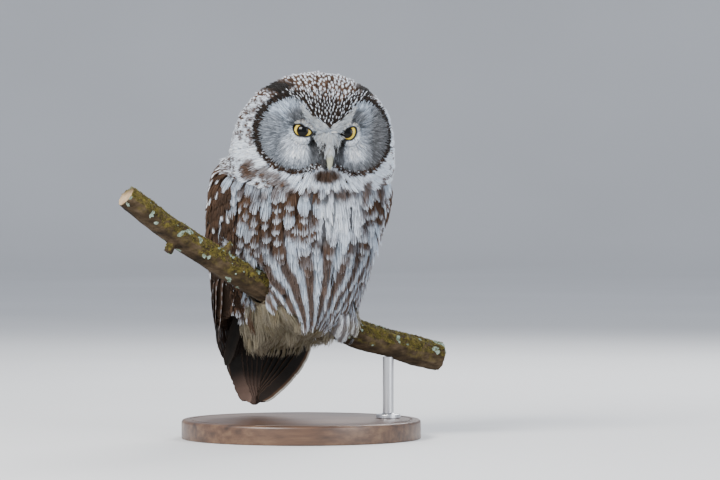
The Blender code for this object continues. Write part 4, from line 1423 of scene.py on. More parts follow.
def makeLid(side):
    # Both lids in one ring round the opening; it hugs the ball and ends behind the face.
    corners = np.array(eyeSettings["openings"][side]) * mm
    centre = eyeCentres[side]
    radius = eyeSettings["radius"] + 0.1 * mm
    middle = corners.mean(0)
    ahead = np.array((middle[0], -math.sqrt(radius**2 - (middle**2).sum()), middle[1])) / radius
    outward = unit(np.cross(ahead, (0.0, 0.0, 1.0)))
    up = np.cross(outward, ahead)
    spots = np.stack([corners[:, 0], -np.sqrt(radius**2 - (corners**2).sum(1)), corners[:, 1]], -1)
    turns = np.arctan2(spots @ up, spots @ outward)
    edges = np.arccos(np.clip(spots @ ahead / radius, -1, 1))
    bearing = np.linspace(-math.pi, math.pi, 72, endpoint=False)
    order = np.argsort(turns)
    edge = np.interp(bearing, turns[order], edges[order], period=2 * math.pi)
    for _ in range(3):
        edge = (np.roll(edge, 1) + 2 * edge + np.roll(edge, -1)) / 4
    thick, far = eyeSettings["lidThick"], eyeSettings["lidEnd"]
    section = (  # how far from the edge towards the back, and how high over the ball
        (0.0, 0.05), (0.0, 0.45), (0.012, 0.85), (0.05, 1.0), (0.10, 1.0), (0.18, 1.0),
        (0.40, 0.9), (0.70, 0.85), (1.0, 0.8), (1.0, -1.2), (0.5, -1.2), (0.05, -1.2),
    )
    rings = []
    for back, high in section:
        theta = edge + (far - edge) * back
        reach = radius + 0.25 * mm + thick * high
        spot = outward * np.cos(bearing)[:, None] + up * np.sin(bearing)[:, None]
        rings.append(centre + reach * (ahead * np.cos(theta)[:, None] + spot * np.sin(theta)[:, None]))
    points, triangles = loftRings(np.array(rings), closed=True)
    back = np.repeat([b for b, _ in section], len(bearing))
    beyond = back * (far - np.tile(edge, len(section)))
    # The lid's skin takes the face's colours, greyer and darkened to 0.6 as painted shade under its tufts.
    shadedLidSkin = mix(faceTone(toHead(points)), tones["grey"], 0.3) * 0.6
    tone = mix(tones["black"], shadedLidSkin, smoothStep(eyeSettings["rim"], eyeSettings["rim"] + 0.04, beyond))
    mesh = meshOf("eyelid" + ("Left" if side > 0 else "Right"), points, triangles, tone)
    place(mesh.name, mesh, "plumage", material=skinFinish)
    surface = evenSurface(mesh, 1.0 * mm)

    def fromEdge(spots):
        away = spots - centre
        theta = np.arccos(np.clip((unit(away) * ahead).sum(-1), -1, 1))
        turn = np.arctan2((away * up).sum(-1), (away * outward).sum(-1))
        return theta - np.interp(turn, bearing, edge, period=2 * math.pi)

    def keepLid(spots, parts):
        away = spots - centre
        outer = np.linalg.norm(away, axis=-1) > radius + 0.4 * mm
        return outer & (fromEdge(spots) > eyeSettings["rim"] + 0.01) & ((unit(away) * ahead).sum(-1) > 0.1)

    def lidFlow(spots):
        return spots - centre - ahead * 0.004

    def paintLid(root, u, v, who, spots):
        away = root - centre
        over = smoothStep(0.0, 0.002, (away * up).sum(-1))
        beyond = fromEdge(root)
        # A brown line in the crease over the upper lid, under the brow: painted shade.
        line = smoothStep(0.20, 0.26, beyond) * smoothStep(0.42, 0.34, beyond) * over
        pale = 0.75 * over * smoothStep(0.26, 0.18, beyond)
        tone = mix(faceTone(toHead(spots)), tones["cream"] * 0.9, pale)
        tone = mix(tone, tones["brown"], 0.6 * line)
        return tone * (0.7 + 0.6 * who[..., 0])[..., None] * np.ones((*u.shape, 3))

    roots = surface.scatter(keepLid, eyeSettings["lidSpacing"], 31 + side)
    return growTufts(roots, lidFlow, lidStyle, paintLid, 41 + side, surface=surface)


lidStyle = {
    "length": 3.4 * mm, "halfWidth": 0.45 * mm, "locks": 4, "rings": fewRings, "lockWidth": 0.22 * mm,
    "lift": 1.0, "stray": 0.15, "narrow": 0.6,
}
eyeMaterial = eyeFinish()
makeEye(-1, "eye_right")
makeEye(1, "eye_left")
coatPiece("coatLids", [makeLid(-1), makeLid(1)])


def hornFinish(name, ground, end, low, high):
    # Horn that darkens or pales from the height low to the height high.
    finish = Finish(name)
    split = finish.node("ShaderNodeSeparateXYZ")
    finish.feed(split, Vector=finish.objectSpace())
    height = finish.node("ShaderNodeMapRange")
    finish.feed(height, Value=split.outputs["Z"])
    height.inputs["From Min"].default_value, height.inputs["From Max"].default_value = low, high
    tone = finish.ramp(height.outputs["Result"], (0.0, end), (1.0, ground))
    cloudy = finish.ramp(finish.noise(700.0, 3.0), (0.3, 0.78), (0.7, 1.0))
    finish.colour(finish.blend(1.0, tone, cloudy, "MULTIPLY"))
    finish.set({"Roughness": 0.32, "Coat Weight": 0.35, "Coat Roughness": 0.2})
    return finish.material


def smoothCopy(label, slot, material, *nodes, rounds=2):
    mesh = bpy.data.meshes.new(label)
    bm = cadShape(*nodes)
    bm.to_mesh(mesh)
    bm.free()
    obj = bpy.data.objects.new(label + "Raw", mesh)
    scene.collection.objects.link(obj)
    smooth = obj.modifiers.new("smooth", "SUBSURF")
    smooth.levels = smooth.render_levels = rounds
    made = evaluated(obj)
    made.name = label
    made.shade_smooth()
    return place(label, made, slot, *nodes, material=material)


billLow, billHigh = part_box("bill_upper")
billFinish = hornFinish("paleHorn", (0.20, 0.19, 0.12), (0.34, 0.35, 0.24), billLow.z, billHigh.z)
smoothCopy("bill", "bill_horn", billFinish, "bill_upper", "bill_lower")
for side in ("left", "right"):
    footLow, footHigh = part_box("foot_" + side)
    tints = (0.05, 0.04, 0.035), (0.012, 0.010, 0.010)
    claw = hornFinish("darkHorn" + side.title(), *tints, footLow.z, footHigh.z)
    for number in range(1, 5):
        smoothCopy(f"claw{side.title()}{number}", "claw_horn", claw, f"claw_{side}_{number}")


vaneSettings = {
    "thick": 0.35 * mm,
    "camber": 0.5 * mm,
    "shaft": 0.22 * mm,
    "pointsAcross": 13,
    "nicked": 0.08,  # share of the places along each edge
}


def makeVane(middle, up, half, paint, seed):
    # One long feather, closed and thin. middle and up run from its quill to its tip; half is half its width.
    rng = np.random.default_rng(seed)
    count = len(middle)
    along = unit(np.gradient(middle, axis=0))
    up = onto(up, along)
    side = np.cross(up, along)
    fine = vaneSettings["pointsAcross"]
    across = np.linspace(-1, 1, fine)
    v = np.linspace(0, 1, count)
    notch = 1 - 0.10 * (rng.random((count, 2)) < vaneSettings["nicked"]) - 0.03 * rng.random((count, 2))
    width = np.where(across < 0, (half * notch[:, 0])[:, None], (half * notch[:, 1])[:, None])
    offset = width * across
    drop = vaneSettings["camber"] * across**2
    shaft = vaneSettings["shaft"] * np.exp(-((across / 0.05) ** 2)) * (1 - v[:, None])
    body = vaneSettings["thick"] * (1 - 0.75 * np.abs(across)) / 2
    base = middle[:, None] + side[:, None] * offset[..., None]
    top = base + up[:, None] * (body - drop + shaft)[..., None]
    under = base - up[:, None] * (body + drop)[..., None]
    rings = np.concatenate([top[:, ::-1], under[:, 1:-1]], 1)
    points, triangles = loftRings(rings)
    u = np.concatenate([across[::-1], across[1:-1]])[None, :] * np.ones((count, 1))
    isTop = (np.arange(u.shape[1]) < fine)[None, :] * np.ones((count, 1))
    colour = paint(u, v[:, None] * np.ones_like(u), isTop)
    flat = np.concatenate([colour.reshape(-1, 3), colour[:1].mean(1), colour[-1:].mean(1)])
    aside = u * 0.5 * (2 * isTop - 1) * 0.45 + np.where(isTop > 0, 0.25, 0.75)
    where = np.stack([aside, v[:, None] + 0 * u], -1)
    where = np.concatenate([where.reshape(-1, 2), where[:1].mean(1), where[-1:].mean(1)])
    return points, triangles, np.clip(flat, 0, 1), where


def onSheet(vanes, columns):
    # Gives every long feather its own patch of the map.
    rows = -(-len(vanes) // columns)
    laid = []
    for number, (points, triangles, colours, where) in enumerate(vanes):
        cell = np.array((number % columns, number // columns))
        laid.append((points, triangles, colours, (cell + 0.04 + 0.92 * where) / (columns, rows)))
    return laid


def barring(bars, width, spotAt, share, ground, rim, white=0.92):
    # White spots in rows on both webs of a brown feather.
    def paint(u, v, isTop):
        lines = np.abs((v * bars + 0.35 + 0.10 * np.abs(u)) % 1 - 0.5) * 2
        row = np.floor(v * bars + 0.35)
        spot = smoothStep(1.25, 0.85, np.hypot(lines / (width + 0.06), (np.abs(u) - spotAt) / (share + 0.12)))
        spot = spot * (row > 0) * (v < 0.97)
        tone = mix(ground, ground * 0.75, 0.5 + 0.5 * np.sin(v * 90 + 3 * u))
        tone = mix(tone, tones["white"] * 0.85, white * spot)
        tone = mix(tone, rim, 0.6 * smoothStep(0.86, 0.97, np.abs(u)) + 0.5 * smoothStep(0.96, 0.995, v))
        tone = mix(tone, tones["umber"], 0.6 * smoothStep(0.06, 0.03, np.abs(u)))
        # The underside of each vane is darkened to 0.85 as painted shade.
        return tone * (0.85 + 0.15 * isTop)[..., None]

    return paint


wingSettings = {
    "levels": 34,
    "chords": 25,
    "secondaries": 9,
    "primaries": 7,
    "topOfVanes": 0.150,
    "axis": 0.04,  # how far back the upright line lies that the wings are measured from
    "outside": 0.16,  # from that line to where the rays start
    "halfPrimary": 4.6 * mm,
    "halfSecondary": 5.6 * mm,
    "halfInner": 5.0 * mm,
    "endOfInner": {-1: 52.0, 1: 78.0},  # height in mm, on the right and on the left
}
tailSettings = {
    "half": 6.0 * mm,
    "pairs": (1.0, 0.82, 0.64, 0.46, 0.28, 0.10),  # how far out each pair lies, as a share of the tail's half
    "outside": 0.16,  # how far back the rays start
}


def measured(tree, places, rayAt, outside):
    # Each place whose ray meets the solid, with how far out it meets it.
    hits = []
    for place in places:
        start, way = rayAt(place)
        hit = tree.ray_cast(Vector(start), Vector(-way), outside)
        if hit[3] is not None:
            hits.append((place, outside - hit[3]))
    return np.array(hits)


class WingSide:  # the outer face of a folded wing, by height and share of its chord
    def __init__(self, side, name):
        self.side = side
        shape = cadShape("wing_" + name, "primaries_" + name)
        tree = BVHTree.FromBMesh(shape)
        heights = [v.co.z for v in shape.verts]
        shape.free()
        self.z = np.linspace(min(heights) + 0.6 * mm, max(heights) - 2 * mm, wingSettings["levels"])
        turns = np.radians(np.arange(30, 200, 1.0))
        axis, outside = wingSettings["axis"], wingSettings["outside"]
        self.turn, self.reach = [], []
        for z in self.z:

            def rayAt(turn, z=z):
                way = fromBody((side * math.sin(turn), -math.cos(turn), 0)) - fromBody((0, 0, 0))
                return fromBody((0, axis, z)) + way * outside, way

            hits = measured(tree, turns, rayAt, outside)
            share = np.linspace(hits[0, 0], hits[-1, 0], wingSettings["chords"])
            self.turn.append(share)
            self.reach.append(np.interp(share, hits[:, 0], hits[:, 1]))
        self.turn, self.reach = np.array(self.turn), np.array(self.reach)

    def at(self, z, share, lower=0.0):
        level = np.interp(z, self.z, np.arange(len(self.z)))
        column = np.clip(share, 0, 1) * (wingSettings["chords"] - 1)
        i = np.minimum(level.astype(int), len(self.z) - 2)
        j = np.minimum(column.astype(int), wingSettings["chords"] - 2)
        a, b = level - i, column - j

        def read(table):
            return (table[i, j] * (1 - b) + table[i, j + 1] * b) * (1 - a) + (
                table[i + 1, j] * (1 - b) + table[i + 1, j + 1] * b
            ) * a

        turn, reach = read(self.turn), read(self.reach) - lower
        way = np.stack([self.side * np.sin(turn), -np.cos(turn), 0 * turn], -1)
        spot = np.stack([0 * z, wingSettings["axis"] + 0 * z, z], -1) + way * reach[:, None]
        return fromBody(spot), way @ bodyAxes.T


def wingVanes(side, name):
    wing = WingSide(side, name)
    low = wing.z[0]
    ground = mix(tones["brown"], tones["umber"], 0.2)
    edge = tones["pink"] * 1.5
    vanes = []
    t = np.linspace(0, 1, 46)
    profile = np.interp(t, (0, 0.12, 0.6, 0.85, 0.95, 1.0), (0.35, 0.8, 1.0, 0.86, 0.60, 0.20))
    total = wingSettings["primaries"] + wingSettings["secondaries"]
    for k in range(total):
        if k < wingSettings["primaries"]:
            s = k / (wingSettings["primaries"] - 1)
            top = 0.128 - 0.006 * s
            tip = low + 0.030 - 0.030 * min(1.0, s * 1.35) + 0.010 * max(0.0, s - 0.74)
            start, end = 0.08 + 0.30 * s, 0.16 + 0.62 * s
            half = wingSettings["halfPrimary"]
            paint = barring(9, 0.24, 0.80, 0.02, ground, edge, 0.45)
        else:
            s = (k - wingSettings["primaries"]) / (wingSettings["secondaries"] - 1)
            top = wingSettings["topOfVanes"] + 0.012 * s
            tip = 0.082 - 0.010 * math.sin(math.pi * s) + 0.018 * s**2
            start, end = 0.16 + 0.66 * s, 0.34 + 0.58 * s
            half = wingSettings["halfSecondary"]
            paint = barring(5, 0.28, 0.62, 0.18, ground, edge)
        z = top + (tip - top) * t
        share = start + (end - start) * t
        lower = (1.5 - 1.4 * k / total + 2.2 * smoothStep(0.24, 0.0, t)) * mm
        middle, up = wing.at(z, share, lower)
        vanes.append(makeVane(middle, up, half * profile, paint, 200 + k))

    # Near black to umber: painted shade for the inner feathers below.
    def dark(u, v, isTop):
        return mix(tones["black"], tones["umber"], 0.4 * np.abs(u))

    # The hidden inner feathers that close the gap to the tail, painted near black as painted shade in that
    # gap.
    end = wingSettings["endOfInner"][side]
    for k in range(4):
        x = np.interp(t, (0, 1), (30.0 - 2 * k, 37.5 - 3.5 * k))
        y = np.interp(t, (0, 0.6, 1), (64.0 + 2 * k, 79.0 + k, 88.0 + 0.5 * k))
        z = np.interp(t, (0, 1), (112.0, end + 3 * k))
        middle = fromBody(np.stack([side * x, y, z], -1) * mm)
        up = np.broadcast_to(bodyAxes @ unit(np.array((-side * 0.35, 0.94, 0.0))), middle.shape)
        vanes.append(makeVane(middle, up, wingSettings["halfInner"] * profile, dark, 230 + k))
    return vanes


def tailVanes():
    shape = cadShape("tail")
    tree = BVHTree.FromBMesh(shape)
    body = toBody(np.array([v.co[:] for v in shape.verts]))
    shape.free()
    zs = np.linspace(body[:, 2].min() + 0.5 * mm, body[:, 2].max() - 1 * mm, 40)
    behind = bodyAxes @ np.array((0, 1, 0))
    outside = tailSettings["outside"]
    places = np.arange(-0.045, 0.046, 0.0005)
    table = [measured(tree, places, lambda x, z=z: (fromBody((x, outside, z)), behind), outside) for z in zs]
    left = np.array([hits[0, 0] for hits in table])
    right = np.array([hits[-1, 0] for hits in table])
    half, centre = (right - left) / 2, (right + left) / 2
    order = [s * u for u in tailSettings["pairs"] for s in (-1, 1)]
    ground = mix(tones["umber"], tones["brown"], 0.45)
    plain = barring(5, 0.22, 0.55, 0.18, ground, tones["brown"])
    vanes = []
    t = np.linspace(0, 1, 60)
    profile = np.interp(t, (0, 0.15, 0.6, 0.90, 0.97, 1.0), (0.35, 0.7, 1.0, 0.92, 0.70, 0.25))
    for k, u in enumerate(order):
        z = zs[-1] + (zs[0] + (3.0 * abs(u) - 2.5) * mm - zs[-1]) * t
        outline = np.interp(z, zs, half)
        room = np.maximum(outline - 5.6 * mm * profile, 0.55 * outline)
        lateral = np.interp(z, zs, centre) + u * room - 4.0 * mm * t**1.5 * max(0.0, -u)
        rows = np.clip(np.searchsorted(zs, z), 0, len(zs) - 1)
        y = np.array([np.interp(x, table[n][:, 0], table[n][:, 1]) for x, n in zip(lateral, rows)])
        y = np.convolve(np.pad(y, 3, mode="edge"), np.ones(7) / 7, mode="valid")
        lower = (0.3 + 2.2 * (1 - k / 11)) * mm
        middle = fromBody(np.stack([lateral, y - lower, z], -1))
        up = np.broadcast_to(behind, middle.shape)

        def paint(across, v, isTop, u=u):
            # Black underneath as painted shadow, pinkish towards the tip and the one side, with a pale line
            # on the other.
            pinkish = np.interp(u, (-1.0, -0.1, 0.3, 1.0), (0.95, 0.80, 0.22, 0.10))
            pinkish = pinkish * smoothStep(0.60, 0.92, v)
            under = mix(tones["black"] * 1.1, tones["pink"] * 0.85, pinkish)
            under = mix(under, tones["warm"], 0.6 * (u > 0.9) * smoothStep(-0.3, -0.6, across))
            tone = np.where(isTop[..., None] > 0, plain(across, v, isTop), under)
            return mix(tone, tones["cream"], 0.9 * (u > 0.9) * smoothStep(0.68, 0.80, -across))

        vanes.append(makeVane(middle, up, tailSettings["half"] * profile, paint, 300 + k))
    return vanes


wings = wingVanes(-1, "right") + wingVanes(1, "left")
vaneTree = BVHTree.FromPolygons(*(items.tolist() for items in joined(wings)))


def underVane(points):
    # Whether a long feather lies over each place on the skin.
    _, normals, _, _ = skin.nearest(points)
    starts = points - 0.3 * mm * normals
    hits = [vaneTree.ray_cast(Vector(p), Vector(n), 6 * mm)[0] for p, n in zip(starts, normals)]
    return np.array([hit is not None for hit in hits], bool)


def keepWing(points, parts):
    b = toBody(points)
    onRight = onParts(parts, "wing_right") & (b[:, 1] > bendEdge(b))
    onWing = onParts(parts, "wing_left") | onRight
    return onWing & ((b[:, 2] > 0.140) | ~underVane(points)) & clearOfPerch(points)


coatPiece("coatWings", grow(keepWing, 3.9 * mm, wingFlow, covertStyle, paintCovert, 19, perchTree))
coatPiece("wingVanes", onSheet(wings, 8), "flight_feathers", "vane")
coatPiece("tailVanes", onSheet(tailVanes(), 6), "flight_feathers", "vane")
for label, nodes in (("wingVanes", ("primaries_left", "primaries_right")), ("tailVanes", ("tail",))):
    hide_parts(*nodes)
print("owl: the coat with its vanes has", coatTotal, "triangles")


# The perch, with its moss and lichen.
perchSettings = {
    "voxel": 0.75 * mm,
    "ridge": 0.45 * mm,  # height of the bark's relief
    "drawnOut": 0.72,  # how much of the relief's change along the branch is taken out
    "coarse": 0.0045,
    "fine": 0.0019,
    "knots": 0.016,
    "tufts": 2600,
    "scales": 260,
    "seed": 7,
}


def barkFinish():
    finish = Finish("mossyBark")
    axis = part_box("perch")[1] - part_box("perch")[0]
    lie = math.atan2(axis.z, axis.x)
    grain = finish.noise(60.0, 6.0, 0.65, finish.stretched((1.0, 2.2, 2.2), rotation=(0, lie, 0)))
    dark, middling, light = (0.008, 0.005, 0.002), (0.038, 0.024, 0.012), (0.095, 0.066, 0.038)
    bark = finish.ramp(grain, (0.30, dark), (0.5, middling), (0.72, light))
    painted = finish.attribute("growth")
    moss = finish.ramp(finish.noise(330.0, 4.0), (0.36, (0.009, 0.007, 0.002)), (0.66, (0.125, 0.098, 0.018)))
    split = finish.node("ShaderNodeSeparateColor")
    finish.feed(split, Color=painted["Color"])
    speckle = finish.noise(260.0, 3.0)
    mossy = finish.math("MULTIPLY", split.outputs[0], finish.ramp(speckle, (0.36, 0.0), (0.56, 1.0)))
    tone = finish.blend(mossy, bark, moss)
    crust = finish.ramp(finish.noise(420.0, 3.0), (0.35, (0.10, 0.14, 0.10)), (0.65, (0.27, 0.34, 0.28)))
    frayed = finish.math("ADD", split.outputs[1], finish.math("MULTIPLY", speckle, 0.4))
    edge = finish.ramp(frayed, (0.62, 0.0), (0.72, 1.0))
    tone = finish.blend(edge, tone, crust)
    wood = finish.ramp(finish.noise(240.0, 3.0), (0.3, (0.30, 0.20, 0.11)), (0.7, (0.46, 0.34, 0.21)))
    tone = finish.blend(split.outputs[2], tone, wood)
    finish.colour(tone)
    finish.bump(finish.noise(520.0, 4.0), 0.5, 0.0006)
    finish.set({"Roughness": 0.92, "Specular IOR Level": 0.2})
    return finish.material


def makePerch():
    mesh = remeshed(cadShape("perch"), "perchBranch", perchSettings["voxel"])
    points, normals, edges = pointsOf(mesh), normalsOf(mesh), edgesOf(mesh)
    points = relax(points, edges, 5)
    low, high = points[:, 0].min(), points[:, 0].max()
    run = np.array(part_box("perch")[1]) - np.array(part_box("perch")[0])
    run = unit(run * np.array((1, 1, -1)))
    along = (points * run).sum(-1)
    stretched = points - run * (along * perchSettings["drawnOut"])[:, None]
    relief = cloud(stretched, perchSettings["coarse"]) + 0.6 * cloud(stretched, perchSettings["fine"], 5.0)
    knots = np.clip(cloud(points, perchSettings["knots"], 2.0), 0, 1)
    atEnd = smoothStep(0.0022, 0.0008, np.minimum(along - along.min(), along.max() - along))
    flatEnd = (np.abs((normals * run).sum(-1)) > 0.7) * atEnd
    amount = perchSettings["ridge"] * (relief + 0.8 * knots - 0.8) * (1 - flatEnd)
    points = points + normals * amount[:, None]
    mesh.vertices.foreach_set("co", points.astype(np.float32).ravel())
    top = smoothStep(-0.25, 0.55, normals[:, 2] - 0.35 * normals[:, 1] + 0.35 * cloud(points, 0.012, 4.0))
    share = (points[:, 0] - low) / (high - low)
    left = smoothStep(0.34, 0.05, np.abs(share - 0.22)) + 0.8 * smoothStep(0.80, 1.0, share)
    patch = np.clip(cloud(points, 0.006, 11.0) + 0.35 * left + 0.25 * normals[:, 2] - 0.48, 0, 1)
    growth = np.stack([np.clip(top, 0, 1), patch, np.clip(flatEnd, 0, 1)], -1)
    paintPoints(mesh, "growth", growth)
    mesh.update()
    mesh.shade_smooth()
    return place("perchBranch", mesh, "bark", "perch", material=barkFinish()), growth


perchBranch, perchGrowth = makePerch()


def growthFinish(name, dark, light, roughness):
    finish = Finish(name)
    finish.colour(finish.ramp(finish.noise(500.0, 3.0), (0.3, dark), (0.7, light)))
    finish.set({"Roughness": roughness, "Specular IOR Level": 0.15})
    return finish.material


def scatterOnPerch(name, shapeOf, count, material, seed, low, high, choose):
    # Copies of one small shape over the chosen part of the branch, by Geometry Nodes.
    leaf = bpy.data.objects.new(name + "Leaf", meshOf(name + "Leaf", *shapeOf()))
    scene.collection.objects.link(leaf)
    wanted = {face.index for face in perchBranch.data.polygons if choose(growthAt(face))}
    bm = bmesh.new()
    bm.from_mesh(perchBranch.data)
    bmesh.ops.delete(bm, geom=[f for f in bm.faces if f.index not in wanted], context="FACES")
    area = sum(f.calc_area() for f in bm.faces)
    mesh = bpy.data.meshes.new(name + "Ground")
    bm.to_mesh(mesh)
    bm.free()
    ground = bpy.data.objects.new(name + "Ground", mesh)
    scene.collection.objects.link(ground)
    tree = bpy.data.node_groups.new(name, "GeometryNodeTree")
    tree.is_modifier = True
    tree.interface.new_socket("Geometry", in_out="INPUT", socket_type="NodeSocketGeometry")
    kinds = {"Density": "Float", "Smallest": "Float", "Largest": "Float", "Seed": "Int"}
    inputs = {
        label: tree.interface.new_socket(label, in_out="INPUT", socket_type="NodeSocket" + kind)
        for label, kind in kinds.items()
    }
    tree.interface.new_socket("Geometry", in_out="OUTPUT", socket_type="NodeSocketGeometry")

    def node(kind, **settings):
        made = tree.nodes.new(kind)
        for key, value in settings.items():
            setattr(made, key, value)
        return made

    start, end = node("NodeGroupInput"), node("NodeGroupOutput")
    spread = node("GeometryNodeDistributePointsOnFaces")
    shape = node("GeometryNodeObjectInfo")
    shape.inputs["Object"].default_value = leaf
    size = node("FunctionNodeRandomValue", data_type="FLOAT")
    turn = node("FunctionNodeRandomValue", data_type="FLOAT")
    turn.inputs[2].default_value, turn.inputs[3].default_value = 0.0, 6.28
    spin = node("ShaderNodeCombineXYZ")
    rotate = node("FunctionNodeRotateRotation", rotation_space="LOCAL")
    copies = node("GeometryNodeInstanceOnPoints")
    real = node("GeometryNodeRealizeInstances")
    dress = node("GeometryNodeSetMaterial")
    dress.inputs["Material"].default_value = material
    for source, output, target, entry in (
        (start, "Geometry", spread, "Mesh"),
        (start, "Density", spread, "Density"),
        (start, "Seed", spread, "Seed"),
        (spread, "Points", copies, "Points"),
        (shape, "Geometry", copies, "Instance"),
        (turn, 1, spin, "Z"),
        (spread, "Rotation", rotate, "Rotation"),
        (spin, 0, rotate, "Rotate By"),
        (rotate, 0, copies, "Rotation"),
        (start, "Smallest", size, 2),
        (start, "Largest", size, 3),
        (size, 1, copies, "Scale"),
        (copies, "Instances", real, "Geometry"),
        (real, "Geometry", dress, "Geometry"),
        (dress, "Geometry", end, "Geometry"),
    ):
        tree.links.new(source.outputs[output], target.inputs[entry])
    modifier = ground.modifiers.new(name, "NODES")
    modifier.node_group = tree
    for label, value in (("Density", count / area), ("Smallest", low), ("Largest", high), ("Seed", seed)):
        modifier[inputs[label].identifier] = value
    made = evaluated(ground)
    made.name = name
    made.shade_smooth()
    bpy.data.objects.remove(leaf)
    place(name, made, "bark")


def mossTuft():
    # A few closed, pointed leaves that lean out from one root.
    rng = np.random.default_rng(3)
    points, triangles = [], []
    for k in range(5):
        turn = 2 * math.pi * k / 5 + rng.uniform(-0.4, 0.4)
        lean, long = rng.uniform(0.5, 1.3), rng.uniform(0.7, 1.2) * mm
        way = np.array((math.cos(turn) * math.sin(lean), math.sin(turn) * math.sin(lean), math.cos(lean)))
        across = unit(np.cross(way, (0, 0, 1)))
        up = np.cross(across, way)
        start = len(points)
        for share, wide in ((0.0, 0.5), (0.5, 1.0)):
            middle = way * long * share - np.array((0, 0, 0.15 * mm))
            half = across * wide * 0.13 * mm
            points += [middle + half, middle + up * wide * 0.09 * mm, middle - half]
        points.append(way * long)
        for i, j in ((0, 1), (1, 2), (2, 0)):
            leaf = ((i, 3 + j, j), (i, 3 + i, 3 + j), (3 + i, 6, 3 + j))
            triangles += [tuple(start + n for n in triangle) for triangle in leaf]
        triangles.append((start, start + 1, start + 2))
    return np.array(points), np.array(triangles)


def lichenScale():
    # A small frilled leaf of crust.
    count = 12
    turn = np.linspace(0, 2 * math.pi, count, endpoint=False)
    reach = (0.9 + 0.25 * np.sin(3 * turn) + 0.15 * np.sin(5 * turn + 1)) * 0.9 * mm
    rings = []
    for share, high in ((0.5, -0.12), (1.0, 0.05), (0.92, 0.22), (0.45, 0.14)):
        flat = np.cos(turn) * reach * share, np.sin(turn) * reach * share
        rings.append(np.stack([*flat, np.full(count, high * mm)], -1))
    return loftRings(np.array(rings))


mossFinish = growthFinish("mossLeaf", (0.045, 0.040, 0.008), (0.22, 0.185, 0.045), 0.9)
lichenFinish = growthFinish("lichenCrust", (0.13, 0.19, 0.15), (0.32, 0.40, 0.33), 0.95)


def growthAt(face):
    return perchGrowth[list(face.vertices)].mean(0)


tufts, scales, seed = (perchSettings[name] for name in ("tufts", "scales", "seed"))
scatterOnPerch(
    "mossTufts", mossTuft, tufts, mossFinish, seed, 0.6, 1.2,
    lambda growth: growth[0] > 0.62 and growth[2] < 0.1,
)
scatterOnPerch(
    "lichenScales", lichenScale, scales, lichenFinish, seed + 1, 0.5, 1.35,
    lambda growth: growth[1] > 0.25 and growth[2] < 0.1,
)
print("owl: the perch is dressed")


# The stand.
standSettings = {
    "sides": {"standBase": 160, "standRod": 96},
    "rounding": 2.2 * mm,
    "underEdge": 0.8 * mm,
    "groove": 0.7 * mm,
    "grooveInside": 7.0 * mm,  # from the base's edge to the middle of its groove
    "collarLip": 0.8 * mm,
    "sharp": 35,  # degrees
}


def turned(profile, centre, sides):
    # A closed body of revolution through (radius, height) pairs, from the lower middle to the upper.
    turn = np.linspace(0, 2 * math.pi, sides, endpoint=False)
    around = np.stack([np.cos(turn), np.sin(turn), 0 * turn], -1)
    return loftRings(np.array([around * r + np.array((0, 0, z)) + centre for r, z in profile]))


def corner(radius, height, size, below):
    # Points of a rounded outer edge.
    steps = [math.pi / 2 * k / 6 for k in range(7)]
    if below:
        return [(radius - size + size * math.sin(a), height + size - size * math.cos(a)) for a in steps]
    return [(radius - size + size * math.cos(a), height - size + size * math.sin(a)) for a in steps]


def walnutFinish():
    finish = Finish("oiledWalnut")
    wavy = finish.noise(14.0, 3.0, 0.5, finish.stretched((1.0, 6.0, 6.0)))
    rings = finish.noise(46.0, 6.0, 0.6, finish.stretched((0.35, 5.0, 5.0)))
    both = finish.math("ADD", finish.math("MULTIPLY", wavy, 0.45), finish.math("MULTIPLY", rings, 0.55))
    dark, middling, light = (0.030, 0.014, 0.007), (0.085, 0.042, 0.022), (0.15, 0.085, 0.045)
    finish.colour(finish.ramp(both, (0.34, dark), (0.50, middling), (0.66, light)))
    finish.bump(rings, 0.12, 0.0003)
    finish.set({"Roughness": 0.42, "Coat Weight": 0.25, "Coat Roughness": 0.25})
    return finish.material


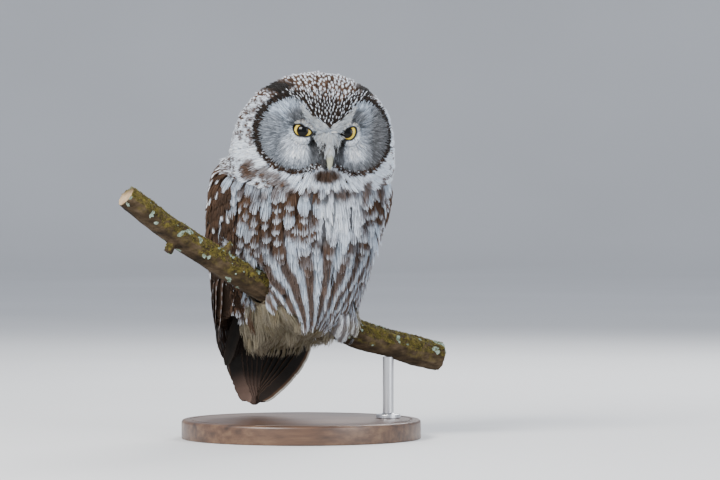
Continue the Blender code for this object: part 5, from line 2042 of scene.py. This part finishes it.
def steelFinish():
    finish = Finish("brushedSteel")
    brushed = finish.noise(400.0, 3.0, 0.5, finish.stretched((1.0, 1.0, 0.06)))
    finish.rough(finish.ramp(brushed, (0.3, 0.24), (0.7, 0.40)))
    finish.set({"Base Color": (0.56, 0.56, 0.57), "Metallic": 1.0})
    return finish.material


def standPiece(name, profile, middle, slot, node, material):
    mesh = meshOf(name, *turned(profile, middle, standSettings["sides"][name]))
    mesh.set_sharp_from_angle(angle=math.radians(standSettings["sharp"]))
    place(name, mesh, slot, node, material=material)


def makeStand():
    low, high = (np.array(v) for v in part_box("stand_base"))
    middle = np.array((*(low + high)[:2] / 2, 0.0))
    radius, top = (high - low)[0] / 2, high[2]
    size, groove = standSettings["rounding"], standSettings["groove"]
    edge = corner(radius, top, size, False)
    inside = radius - standSettings["grooveInside"]
    turns = np.linspace(0, math.pi, 7)
    ring = [(inside + groove * math.cos(a) * 1.2, top - groove * math.sin(a)) for a in turns]
    under = corner(radius, low[2], standSettings["underEdge"], True)
    profile = [(0.02, low[2]), *under, *edge, *ring, (0.02, top)]
    standPiece("standBase", profile, middle, "base_wood", "stand_base", walnutFinish())
    low, high = (np.array(v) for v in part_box("stand_rod"))
    shape = cadShape("stand_rod")
    points = np.array([v.co[:] for v in shape.verts])
    shape.free()
    collar = (high[0] - low[0]) / 2
    collarTop = np.sort(points[np.hypot(*(points[:, :2] - (low + high)[:2] / 2).T) > collar * 0.9, 2])[-1]
    upper = points[points[:, 2] > collarTop + 2 * mm]
    rodLow, rodHigh = upper.min(0), upper.max(0)
    rod = (rodHigh[0] - rodLow[0]) / 2
    middle = np.array((*(rodLow + rodHigh)[:2] / 2, 0.0))
    lip = standSettings["collarLip"]
    profile = [
        (0.2 * mm, low[2]),
        (collar, low[2]),
        *corner(collar, collarTop, lip, False),
        (rod + 1.0 * mm, collarTop),
        (rod, collarTop + 0.9 * mm),
        (rod, high[2] - 0.1 * mm),
        (0.2 * mm, high[2] - 0.1 * mm),
    ]
    standPiece("standRod", profile, middle, "rod_steel", "stand_rod", steelFinish())


makeStand()
print("owl: the stand is up")
